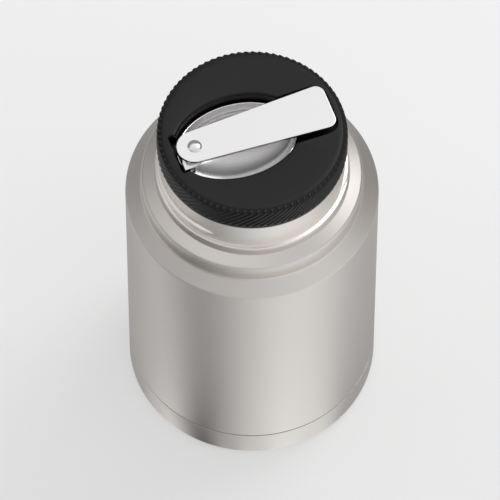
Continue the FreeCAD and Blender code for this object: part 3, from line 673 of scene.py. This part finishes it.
def ridge_tree():
    """The rule of every rib and thread: a rod of some sides wound up the axis and repeated round it."""
    name = "wound_ridges"
    if name in bpy.data.node_groups:
        return bpy.data.node_groups[name]
    group = bpy.data.node_groups.new(name, "GeometryNodeTree")
    for label, kind in RIDGE_INPUTS:
        group.interface.new_socket(label, in_out="INPUT", socket_type=kind)
    group.interface.new_socket("Geometry", in_out="OUTPUT", socket_type="NodeSocketGeometry")
    tree = Tree(group)
    given = tree.node("NodeGroupInput")
    size = {label: Wire(tree, given.outputs[label]) for label, kind in RIDGE_INPUTS}
    straight = tree.node("GeometryNodeCurvePrimitiveLine", None, None, "Curve")
    points = tree.node(
        "GeometryNodeResampleCurve", None, {"Curve": straight, "Count": size["Points"]}, "Curve"
    )
    way = tree.node("GeometryNodeSplineParameter", None, None, "Factor")
    turn = size["Start"] + size["Sweep"] * way
    cosine = tree.node("ShaderNodeMath", {"operation": "COSINE"}, {0: turn}, "Value")
    sine = tree.node("ShaderNodeMath", {"operation": "SINE"}, {0: turn}, "Value")
    past = tree.node(
        "ShaderNodeMath", {"operation": "MAXIMUM"},
        {0: (way - (1 - size["Tuck share"])) / size["Tuck share"], 1: 0.0}, "Value",
    )
    reach = size["Radius"] - size["Tuck"] * past * past
    place = tree.node(
        "ShaderNodeCombineXYZ", None,
        {"X": reach * cosine, "Y": reach * sine, "Z": size["Foot"] + size["Rise"] * way}, "Vector",
    )
    path = tree.node("GeometryNodeSetPosition", None, {"Geometry": points, "Position": place}, "Geometry")
    to_end = tree.node("ShaderNodeMath", {"operation": "MINIMUM"}, {0: way, 1: 1 - way}, "Value")
    thick = tree.node(
        "ShaderNodeMath", {"operation": "MINIMUM"}, {0: to_end / size["Taper"] + 0.02, 1: 1.0}, "Value"
    )
    upright = tree.node("GeometryNodeSetCurveNormal", {"mode": "Z_UP"}, {"Curve": path}, "Curve")
    scaled = tree.node("GeometryNodeSetCurveRadius", None, {"Curve": upright, "Radius": thick}, "Curve")
    section = tree.node(
        "GeometryNodeCurvePrimitiveCircle", None,
        {"Resolution": size["Sides"], "Radius": size["Rod"]}, "Curve",
    )
    sweep = tree.node("GeometryNodeCurveToMesh", None, {
        "Curve": scaled, "Profile Curve": section, "Fill Caps": True,
    })
    if "Scale" in sweep.inputs:
        group.links.new(thick.socket, sweep.inputs["Scale"])
    rod = Wire(tree, sweep.outputs["Mesh"])
    spots = tree.node("GeometryNodePoints", None, {"Count": size["Copies"]}, "Points")
    index = tree.node("GeometryNodeInputIndex", None, None, "Index")
    round_axis = tree.node(
        "ShaderNodeCombineXYZ", None, {"Z": index * (2 * math.pi) / size["Copies"]}, "Vector"
    )
    copies = tree.node(
        "GeometryNodeInstanceOnPoints", None,
        {"Points": spots, "Instance": rod, "Rotation": round_axis}, "Instances",
    )
    real = tree.node("GeometryNodeRealizeInstances", None, {"Geometry": copies}, "Geometry")
    dressed = tree.node(
        "GeometryNodeSetMaterial", None, {"Geometry": real, "Material": size["Material"]}, "Geometry"
    )
    tree.node("NodeGroupOutput", None, {"Geometry": dressed})
    return group


def wound(name, sizes, material):
    """Ridges from the tree with these sizes, as a plain mesh."""
    holder = bpy.data.objects.new(f"{name}_rule", bpy.data.meshes.new(f"{name}_rule"))
    bpy.context.scene.collection.objects.link(holder)
    holder.data.materials.append(material)
    modifier = holder.modifiers.new("ridges", "NODES")
    group = ridge_tree()
    modifier.node_group = group
    for item in group.interface.items_tree:
        if item.in_out == "INPUT":
            modifier[item.identifier] = material if item.name == "Material" else sizes[item.name]
    return plain(name, holder, material)


def crest_rod(width, depth):
    """Radius of the rod whose crest is that wide and stands out that deep."""
    return ((width / 2) ** 2 + depth ** 2) / (2 * depth)


def thread_sizes(wall, depth, width, foot, pitch, turns, start, copies):
    """Sizes of a thread on a wall, for the ridge tree: a negative depth points at the axis."""
    side = 1 if depth > 0 else -1
    rod = crest_rod(width, abs(depth))
    return {
        "Radius": wall + depth - side * rod,
        "Rod": rod,
        "Foot": foot,
        "Rise": pitch * turns,
        "Sweep": 2 * math.pi * turns,
        "Start": start,
        "Taper": 0.035,
        "Tuck": 0.0,
        "Tuck share": 1.0,
        "Points": 120,
        "Sides": 8,
        "Copies": copies,
    }


def collar_radius(vessel):
    return BODY_RADIUS - vessel.cone_run - vessel.step_fillet - vessel.bead - vessel.plateau_run


def neck_radius(vessel):
    return collar_radius(vessel) - vessel.collar_inset


def mouth_bore(vessel):
    return neck_radius(vessel) - vessel.mouth_inset


# Operators


class PieceOperator:
    """What the operators of the pieces share."""

    bl_options = {"REGISTER", "UNDO"}

    def carry(self, piece, body, slot, *nodes):
        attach(piece, body)
        if nodes:
            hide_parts(*nodes)


class FOODJAR_OT_shell(PieceOperator, bpy.types.Operator):
    """Builds the outer vessel and its cup thread"""

    bl_idname = "foodjar.shell"
    bl_label = "Outer vessel"

    def execute(self, context):
        size = context.scene.foodjar_vessel
        wall = size.wall
        cone_top = size.shoulder + size.cone_rise
        step = BODY_RADIUS - size.cone_run - size.step_fillet
        step_top = cone_top + size.step_rise
        plateau_top = step_top + size.plateau_rise
        collar = collar_radius(size)
        collar_top = plateau_top + size.collar_height
        neck = neck_radius(size)
        neck_top = SHELL_HIGH.z
        foot = SHELL_LOW.z
        corners = [
            (BODY_RADIUS, foot, size.seam_edge),
            (BODY_RADIUS, size.shoulder, size.shoulder_round),
            (step, cone_top + size.cone_overrun, size.step_fillet),
            (step, step_top + size.plateau_rise * size.plateau_start, size.bead),
            (collar, plateau_top, size.collar_foot),
            (collar, collar_top, size.collar_edge),
            (neck, collar_top + size.neck_foot_lift, size.neck_foot),
            (neck, neck_top, 0),
            (neck - wall, neck_top, 0),
            (neck - wall, plateau_top - wall, 0),
            (collar - wall, plateau_top - wall, 0),
            (step - wall, step_top - wall * 2, size.inner_bead),
            (step - wall, cone_top - wall, size.inner_step),
            (BODY_RADIUS - wall, size.shoulder - wall, size.inner_shoulder),
            (BODY_RADIUS - wall, foot, 0),
        ]
        shell = lathe("vessel_body", corners, finish("satin_steel"), BODY_SEGMENTS)
        # The faces over the collar and the cup thread take the neck's steel, whose brighter colour is a
        # painted highlight
        shell.data.materials.append(finish("neck_steel_painted_highlight"))
        for face in shell.data.polygons:
            face.material_index = int(face.center.z > collar_top)
        self.carry(shell, "jar", "satin_steel", "outer_shell")
        thread = wound("cup_thread", thread_sizes(
            neck, size.thread_depth, size.thread_width, plateau_top + size.thread_lift,
            size.thread_pitch, size.thread_turns, size.thread_start, 1,
        ), finish("neck_steel_painted_highlight"))
        self.carry(thread, "jar", "satin_steel")
        return {"FINISHED"}


class FOODJAR_OT_base(PieceOperator, bpy.types.Operator):
    """Builds the base under the seam"""

    bl_idname = "foodjar.base"
    bl_label = "Base"

    def execute(self, context):
        size = context.scene.foodjar_vessel
        wall = size.wall
        seam = SHELL_LOW.z - size.seam_gap
        lap = BODY_RADIUS - wall - size.lap_play
        lap_inside = lap - size.lap_wall
        rim = BODY_RADIUS - size.base_rim
        middle = rim - size.base_recess
        corners = [
            (0, size.base_recess, 0),
            (middle, size.base_recess, size.base_edge),
            (rim, 0, size.base_edge),
            (BODY_RADIUS, 0, size.base_round),
            (BODY_RADIUS, seam, size.seam_edge),
            (lap, seam, 0),
            (lap, BASE_HIGH.z, 0),
            (lap_inside, BASE_HIGH.z, 0),
            (lap_inside, size.base_floor, size.lap_round),
            (rim, size.base_floor, size.base_inner_edge),
            (middle, size.base_recess + wall, size.base_inner_edge),
            (0, size.base_recess + wall, 0),
        ]
        base = lathe("base_band", corners, finish("satin_steel"), BODY_SEGMENTS)
        self.carry(base, "jar", "satin_steel", "base_cap")
        return {"FINISHED"}


class FOODJAR_OT_liner(PieceOperator, bpy.types.Operator):
    """Builds the food vessel, its rolled mouth and its threads"""

    bl_idname = "foodjar.liner"
    bl_label = "Food vessel"

    def execute(self, context):
        size = context.scene.foodjar_vessel
        screw = context.scene.foodjar_stopper
        wall = size.liner_wall
        neck = neck_radius(size)
        bore = mouth_bore(size)
        land = bore - size.land_inset
        land_top = MOUTH_LEVEL - size.land_top
        land_foot = land_top - size.land_length
        shoulder = size.shoulder - size.liner_drop
        floor = LINER_LOW.z
        edge, outer_edge = size.land_edge, size.land_outer_edge
        lip_foot = MOUTH_LEVEL - size.lip
        corners = [
            (0, floor, 0),
            (LINER_RADIUS, floor, size.liner_round),
            (LINER_RADIUS, shoulder, size.liner_shoulder),
            (land + wall, land_foot, size.land_outer_foot),
            (land + wall, land_top, outer_edge),
            (bore + wall, land_top + size.land_inset, outer_edge),
            (bore + wall, lip_foot, 0),
            (neck, lip_foot, 0),
            (neck, MOUTH_LEVEL, size.lip_round),
            (bore, MOUTH_LEVEL, size.lip / 2),
            (bore, land_top + size.land_inset, edge),
            (land, land_top, edge),
            (land, land_foot, size.liner_shoulder),
            (LINER_RADIUS - wall, shoulder - wall * size.slope_share, size.liner_inner_shoulder),
            (LINER_RADIUS - wall, floor + wall, size.liner_round - wall),
            (0, floor + wall, 0),
        ]
        liner = lathe("food_vessel", corners, finish("liner_steel"), STOPPER_SEGMENTS)
        self.carry(liner, "jar", "inner_steel", "inner_vessel")
        threads = wound("mouth_threads", thread_sizes(
            bore, -screw.screw_depth, screw.screw_width, MOUTH_LEVEL - screw.screw_drop,
            screw.screw_lead, screw.screw_turns, 0.0, screw.screw_starts,
        ), finish("liner_steel"))
        self.carry(threads, "jar", "inner_steel")
        return {"FINISHED"}


class FOODJAR_OT_cap(PieceOperator, bpy.types.Operator):
    """Builds the stopper's cap with the spoon's recess, and the ribs of its grip"""

    bl_idname = "foodjar.cap"
    bl_label = "Cap and grip"

    def execute(self, context):
        size = context.scene.foodjar_stopper
        spoon = context.scene.foodjar_spoon
        plastic = finish("black_plastic")
        valley = CAP_RADIUS - size.rib_depth
        corners = [
            (0, CAP_FOOT, 0),
            (valley, CAP_FOOT, size.cap_foot_edge),
            (valley, CAP_FACE - size.edge_drop, size.edge_foot),
            (CAP_RADIUS - size.edge_run, CAP_FACE - size.face_drop, size.edge_bend),
            (CAP_RADIUS - size.face_inset, CAP_FACE, size.face_bend),
            (0, CAP_FACE, 0),
        ]
        blank = lathe("cap_blank", corners, plastic, STOPPER_SEGMENTS)
        rim = CAP_FACE - spoon.bowl_drop
        half_length = spoon.bowl_half_length + spoon.recess_play
        half_width = spoon.bowl_half_width + spoon.recess_play
        depth = spoon.bowl_depth + spoon.recess_floor
        wall = spoon.recess_wall
        clear = CAP_FACE + MM
        tray_rings = dish_rings(half_length + wall, half_width + wall, depth + wall, rim)
        tray = stacked("tray", tray_rings, plastic)
        lip = spoon.recess_lip
        hollow_rings = dish_rings(half_length, half_width, depth, rim)
        hollow_rings.append(ellipse_ring(half_length, half_width, CAP_FACE - lip))
        for rise in turns_between(0, math.pi / 2, 5):
            out = lip * (1 - math.cos(rise))
            up = CAP_FACE - lip + lip * math.sin(rise)
            hollow_rings.append(ellipse_ring(half_length + out, half_width + out, up))
        hollow_rings.append(ellipse_ring(half_length + lip, half_width + lip, clear))
        hollow = stacked("hollow", hollow_rings, plastic)
        wide = spoon.slot_half_width
        slot = prism("slot", plate_line([
            (spoon.bowl_centre, -wide, 0),
            (spoon.slot_reach, -wide, spoon.slot_corner),
            (spoon.slot_reach, wide, spoon.slot_corner),
            (spoon.bowl_centre, wide, 0),
        ]), CAP_FACE - spoon.slot_depth, clear, spoon.slot_flare, plastic)
        side = spoon.pocket_half_width
        pocket = prism("pocket", plate_line([
            (spoon.pocket_end, -side, spoon.pocket_corner),
            (spoon.bowl_centre, -side, 0),
            (spoon.bowl_centre, side, 0),
            (spoon.pocket_end, side, spoon.pocket_corner),
        ]), rim - spoon.pocket_depth, clear, spoon.pocket_flare, plastic)
        cap = carved("stopper_top", blank, [
            ("UNION", tray), ("DIFFERENCE", hollow), ("DIFFERENCE", slot), ("DIFFERENCE", pocket),
        ], plastic)
        self.carry(cap, "stopper", "black_plastic", "stopper_cap")

        pitch = 2 * math.pi * CAP_RADIUS / size.ribs * math.sin(size.rib_lean)
        rod = crest_rod(pitch, size.rib_depth)
        foot = CAP_FOOT + rod * size.rib_foot
        rise = CAP_FACE - size.edge_drop * size.rib_top - foot
        ribs = wound("grip_ribs", {
            "Radius": CAP_RADIUS - rod,
            "Rod": rod,
            "Foot": foot,
            "Rise": rise,
            "Sweep": rise / (CAP_RADIUS * math.tan(size.rib_lean)),
            "Start": 0.0,
            "Taper": 0.02,
            "Tuck": size.rib_tuck,
            "Tuck share": 0.16,
            "Points": 16,
            "Sides": 14,
            "Copies": size.ribs,
        }, plastic)
        self.carry(ribs, "stopper", "black_plastic")
        return {"FINISHED"}


class FOODJAR_OT_plug(PieceOperator, bpy.types.Operator):
    """Builds the stopper's hollow plug and its threads"""

    bl_idname = "foodjar.plug"
    bl_label = "Plug"

    def execute(self, context):
        size = context.scene.foodjar_stopper
        bore = mouth_bore(context.scene.foodjar_vessel)
        crest = bore - size.screw_play
        wall_radius = bore - size.plug_inset
        groove_radius = wall_radius - size.groove_depth
        groove_foot = PLUG_LOW.z + size.groove_offset
        groove_top = groove_foot + size.groove_width
        wall = size.wall
        corners = [
            (0, PLUG_LOW.z, 0),
            (wall_radius, PLUG_LOW.z, size.foot_round),
            (wall_radius, groove_foot, size.groove_edge),
            (groove_radius, groove_foot, 0),
            (groove_radius, groove_top, 0),
            (wall_radius, groove_top, size.groove_edge),
            (wall_radius, PLUG_HIGH.z, 0),
            (wall_radius - wall, PLUG_HIGH.z, 0),
            (wall_radius - wall, groove_top + wall, 0),
            (groove_radius - wall, groove_top + wall, 0),
            (groove_radius - wall, PLUG_LOW.z + wall, 0),
            (0, PLUG_LOW.z + wall, 0),
        ]
        plug = lathe("plug_cup", corners, finish("black_plastic"), PLUG_SEGMENTS)
        self.carry(plug, "stopper", "black_plastic", "stopper_plug")
        threads = wound("plug_threads", thread_sizes(
            wall_radius, crest - wall_radius, size.screw_width,
            MOUTH_LEVEL - size.screw_drop - size.screw_width - size.screw_play,
            size.screw_lead, size.screw_turns, 0.0, size.screw_starts,
        ), finish("black_plastic"))
        self.carry(threads, "stopper", "black_plastic")
        return {"FINISHED"}


class FOODJAR_OT_bowl(PieceOperator, bpy.types.Operator):
    """Builds the spoon's bowl and the turned-up seat that its handle turns on"""

    bl_idname = "foodjar.bowl"
    bl_label = "Bowl and seat"

    def seat_rings(self, size, rim):
        """The seat's foot is square at the bowl's end, and its top a round plate under the handle."""
        deep, near, far = size.seat_depth / 2, size.seat_near, size.seat_far
        middle = size.seat_end + deep
        corners = [(deep, -near), (deep, far), (-deep, far), (-deep, -near)]
        bearings = [math.radians(degrees) for degrees in (-60, 60, 120, 240, 300)]
        steps = 12
        square, disc = [], []
        for side in range(4):
            (along, across), (next_along, next_across) = corners[side], corners[(side + 1) % 4]
            for step in range(steps):
                part = step / steps
                square.append((
                    middle + along + (next_along - along) * part,
                    across + (next_across - across) * part,
                ))
                turn = bearings[side] + (bearings[side + 1] - bearings[side]) * part
                disc.append((
                    PIVOT_ALONG + size.seat_plate * math.cos(turn), size.seat_plate * math.sin(turn)
                ))
        top = WASHER_LOW.z
        plate_foot = top - size.sheet
        levels = [
            (square, rim - size.sheet), (square, plate_foot - size.seat_slope),
            (disc, plate_foot), (disc, top),
        ]
        return [[on_spoon(x, y, up) for x, y in outline] for outline, up in levels]

    def execute(self, context):
        size = context.scene.foodjar_spoon
        long, wide, depth = size.bowl_half_length, size.bowl_half_width, size.bowl_depth
        rim = CAP_FACE - size.bowl_drop
        sheet = size.sheet
        edge = sheet / 2
        rings = dish_rings(long, wide, depth, rim - edge, 28)
        for turn in turns_between(0, math.pi, 6)[:-1]:
            inset = edge * (1 - math.cos(turn))
            rings.append(ellipse_ring(long - inset, wide - inset, rim - edge + edge * math.sin(turn)))
        rings.extend(reversed(dish_rings(long - sheet, wide - sheet, depth - sheet, rim - edge, 28)))
        metal = finish("spoon_steel")
        bowl = stacked("bowl_blank", rings, metal)
        seat = stacked("seat_blank", self.seat_rings(size, rim), metal)
        spoon = carved("spoon_bowl_and_seat", bowl, [("UNION", seat)], metal)
        self.carry(spoon, "spoon", "spoon_steel", "spoon_bowl")
        return {"FINISHED"}


class FOODJAR_OT_handle(PieceOperator, bpy.types.Operator):
    """Builds the spoon's flat handle"""

    bl_idname = "foodjar.handle"
    bl_label = "Handle"

    def execute(self, context):
        size = context.scene.foodjar_spoon
        metal = finish("spoon_steel")
        end = size.handle_end
        outline = plate_line([
            (PIVOT_ALONG, -end, 0),
            (size.handle_tip, -size.handle_tip_half, size.handle_corner),
            (size.handle_tip, size.handle_tip_half, size.handle_corner),
            (PIVOT_ALONG, end, 0),
        ])
        for turn in turns_between(math.pi / 2, math.pi * 3 / 2, 40)[:-1]:
            outline.append((PIVOT_ALONG + end * math.cos(turn), end * math.sin(turn)))
        foot, top = HANDLE_LOW.z, HANDLE_HIGH.z
        rings = [[on_spoon(x, y, up) for x, y in outline] for up in (foot, top)]
        blank = stacked("handle_blank", rings, metal)
        bore = size.rivet_shank + size.rivet_play
        drill = lathe("drill", [
            (0, foot - MM, 0), (bore, foot - MM, 0), (bore, top + MM, 0), (0, top + MM, 0),
        ], metal, HOLE_SEGMENTS, (PIVOT.x, PIVOT.y))
        plate = carved("handle_plate", blank, [("DIFFERENCE", drill)], metal)
        bevel = plate.modifiers.new("eased", "BEVEL")
        bevel.width = size.handle_edge
        bevel.segments = 3
        bevel.limit_method = "ANGLE"
        bevel.angle_limit = math.radians(50)
        handle = plain("handle", plate, metal, crease=14.0)
        self.carry(handle, "handle", "spoon_steel", "spoon_handle")
        return {"FINISHED"}


class FOODJAR_OT_rivet(PieceOperator, bpy.types.Operator):
    """Builds the rivet on which the handle turns"""

    bl_idname = "foodjar.rivet"
    bl_label = "Rivet"

    def execute(self, context):
        size = context.scene.foodjar_spoon
        head_foot = RIVET_HIGH.z - size.rivet_dome
        seat_foot = RIVET_LOW.z + size.rivet_foot
        head, shank = size.rivet_head, size.rivet_shank
        dome = (head ** 2 + size.rivet_dome ** 2) / (2 * size.rivet_dome)
        reach = math.asin(head / dome)
        crown = [
            (dome * math.sin(turn), RIVET_HIGH.z - dome + dome * math.cos(turn), 0)
            for turn in [reach, *turns_between(reach, 0, 10)]
        ]
        corners = [
            (0, RIVET_LOW.z, 0),
            (head, RIVET_LOW.z, size.rivet_edge),
            (head, seat_foot, 0),
            (shank, seat_foot, 0),
            (shank, head_foot, 0),
            *crown,
        ]
        rivet = lathe("rivet", corners, finish("rivet_steel"), RIVET_SEGMENTS, (PIVOT.x, PIVOT.y))
        self.carry(rivet, "spoon", "spoon_steel", "spoon_rivet")
        return {"FINISHED"}


class FOODJAR_OT_nodes(PieceOperator, bpy.types.Operator):
    """Gives the pieces that are shown as modelled their finishes"""

    bl_idname = "foodjar.nodes"
    bl_label = "Carried pieces"

    def execute(self, context):
        finishes = {
            "vacuum_bottom": "satin_steel",
            "port_seal": "dull_metal",
            "foil_wrap": "foil",
            "getter": "dull_metal",
            "stopper_seal": "silicone",
            "stopper_foam": "foam",
            "pivot_washer": "nylon",
        }
        for node, name in finishes.items():
            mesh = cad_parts[node].data
            mesh.materials.clear()
            mesh.materials.append(finish(name))
        return {"FINISHED"}


class FOODJAR_OT_stage(bpy.types.Operator):
    """Sets up the floor, the studio light and the camera"""

    bl_idname = "foodjar.stage"
    bl_label = "Studio"
    bl_options = {"REGISTER", "UNDO"}

    def wall_light(self, tree, east, north, spread, walls):
        """Brightness by bearing, where the spread turns a bearing into that of the reflecting wall."""
        bearing = tree.node("ShaderNodeMath", {"operation": "ARCTAN2"}, {0: east, 1: -1 * north}, "Value")
        ring = tree.node("ShaderNodeValToRGB", None, {"Fac": bearing / spread / math.pi + 0.5})
        stops = ring.color_ramp
        stops.interpolation = "EASE"
        while len(stops.elements) < len(walls):
            stops.elements.new(0.5)
        for stop, (degrees, level) in zip(stops.elements, walls):
            stop.position = degrees / 180 + 0.5
            stop.color = (level, level, level, 1)
        return Wire(tree, ring.outputs["Color"])

    def ramp(self, tree, value, low, high):
        """A soft rise from 0 where the value is low to 1 where it is high."""
        return tree.node(
            "ShaderNodeMapRange", {"interpolation_type": "SMOOTHSTEP"},
            {"Value": value, "From Min": low, "From Max": high}, "Result",
        )

    def floor(self, context):
        tints = context.scene.foodjar_finish
        material, tree = new_material("studio_floor", tints.floor_far)
        place = tree.node("ShaderNodeTexCoord", None, None, "Object")
        apart = tree.node("ShaderNodeSeparateXYZ", None, {"Vector": place})
        east, north = (Wire(tree, apart.outputs[axis]) for axis in "XY")
        # The floor darkens towards the front of the jar with painted shade
        shade = tree.blend(self.ramp(tree, north, -0.16, 0.20), tints.floor_near_painted_shade, tints.floor_far)
        pale = tree.node("ShaderNodeBsdfDiffuse", None, {"Color": shade}, "BSDF")
        bright = tree.node("ShaderNodeEmission", None, {"Color": (*tints.backdrop, 1)}, "Emission")
        seen = tree.node("ShaderNodeLightPath", None, None, "Is Camera Ray")
        part = seen * tints.backdrop_share
        plain_floor = tree.node("ShaderNodeMixShader", None, {0: part, 1: pale, 2: bright}, "Shader")
        # Glossy rays see the floor glow with painted reflection bands by bearing, in place of the studio's
        # low walls
        away = tree.node("ShaderNodeVectorMath", {"operation": "LENGTH"}, {0: place}, "Value")
        walls = self.wall_light(tree, east, north, 2 - BODY_RADIUS / away, PAINTED_FLOOR_REFLECTIONS)
        shown = tree.node("ShaderNodeEmission", None, {"Color": walls}, "Emission")
        glossy = tree.node("ShaderNodeLightPath", None, None, "Is Glossy Ray")
        mixed = tree.node("ShaderNodeMixShader", None, {0: glossy, 1: plain_floor, 2: shown}, "Shader")
        tree.node("ShaderNodeOutputMaterial", None, {"Surface": mixed})
        reach = FLOOR_REACH
        corners = [(-reach, -reach, 0), (reach, -reach, 0), (reach, reach, 0), (-reach, reach, 0)]
        mesh = bpy.data.meshes.new("floor")
        mesh.from_pydata(corners, [], [(0, 1, 2, 3)])
        mesh.materials.append(material)
        floor = bpy.data.objects.new("floor", mesh)
        context.scene.collection.objects.link(floor)

    def key_lamp(self, context):
        light = bpy.data.lights.new("key", "AREA")
        light.shape = "DISK"
        light.size = KEY_SPAN
        light.energy = KEY_POWER
        lamp = bpy.data.objects.new("key", light)
        lamp.location = KEY_PLACE
        lamp.rotation_euler = (KEY_AIM - KEY_PLACE).to_track_quat("-Z", "Y").to_euler()
        context.scene.collection.objects.link(lamp)

    def world(self, context):
        world = bpy.data.worlds.new("studio")
        world.use_nodes = True
        world.node_tree.nodes.clear()
        tree = Tree(world.node_tree)
        way = tree.node("ShaderNodeTexCoord", None, None, "Generated")
        apart = tree.node("ShaderNodeSeparateXYZ", None, {"Vector": way})
        east, north, up = (Wire(tree, apart.outputs[axis]) for axis in "XYZ")
        tints = context.scene.foodjar_finish
        level = north * tints.overhead_tilt + tints.overhead
        equal = {"Red": level, "Green": level, "Blue": level}
        ceiling = tree.node("ShaderNodeCombineColor", None, equal, "Color")
        walls = self.wall_light(tree, east, north, HIGH_SPREAD, HIGH_WALLS)
        light = tree.blend(self.ramp(tree, up, 0.5, 0.85), walls, ceiling)
        sky = tree.node("ShaderNodeBackground", None, {"Color": light, "Strength": 1.0}, "Background")
        tree.node("ShaderNodeOutputWorld", None, {"Surface": sky})
        context.scene.world = world

    def camera(self, context):
        data = bpy.data.cameras.new("camera")
        data.lens = LENS
        camera = bpy.data.objects.new("camera", data)
        back = CAMERA_RIGHT.cross(CAMERA_UP)
        turned = Matrix((CAMERA_RIGHT, CAMERA_UP, back)).transposed().to_4x4()
        camera.matrix_world = Matrix.Translation(CAMERA_PLACE) @ turned
        context.scene.collection.objects.link(camera)
        context.scene.camera = camera

    def execute(self, context):
        self.floor(context)
        self.world(context)
        self.key_lamp(context)
        self.camera(context)
        context.scene.view_settings.view_transform = "Standard"
        return {"FINISHED"}


class FOODJAR_PT_panel(bpy.types.Panel):
    """Lists the operators of the food jar"""

    bl_idname = "FOODJAR_PT_panel"
    bl_label = "Food jar"
    bl_space_type = "VIEW_3D"
    bl_region_type = "UI"
    bl_category = "Food jar"

    def draw(self, context):
        for operator in OPERATORS:
            self.layout.operator(operator.bl_idname)


GROUPS = {
    "foodjar_vessel": FOODJAR_PG_vessel,
    "foodjar_stopper": FOODJAR_PG_stopper,
    "foodjar_spoon": FOODJAR_PG_spoon,
    "foodjar_finish": FOODJAR_PG_finish,
}
OPERATORS = (
    FOODJAR_OT_shell,
    FOODJAR_OT_base,
    FOODJAR_OT_liner,
    FOODJAR_OT_cap,
    FOODJAR_OT_plug,
    FOODJAR_OT_bowl,
    FOODJAR_OT_handle,
    FOODJAR_OT_rivet,
    FOODJAR_OT_nodes,
    FOODJAR_OT_stage,
)


def register():
    for group in GROUPS.values():
        bpy.utils.register_class(group)
    for name, group in GROUPS.items():
        setattr(bpy.types.Scene, name, PointerProperty(type=group))
    for item in (*OPERATORS, FOODJAR_PT_panel):
        bpy.utils.register_class(item)


def unregister():
    for item in (FOODJAR_PT_panel, *reversed(OPERATORS)):
        bpy.utils.unregister_class(item)
    for name, group in GROUPS.items():
        delattr(bpy.types.Scene, name)
        bpy.utils.unregister_class(group)


def main():
    register()
    for operator in OPERATORS:
        family, call = operator.bl_idname.split(".")
        getattr(getattr(bpy.ops, family), call)()


if __name__ == "__main__":
    main()
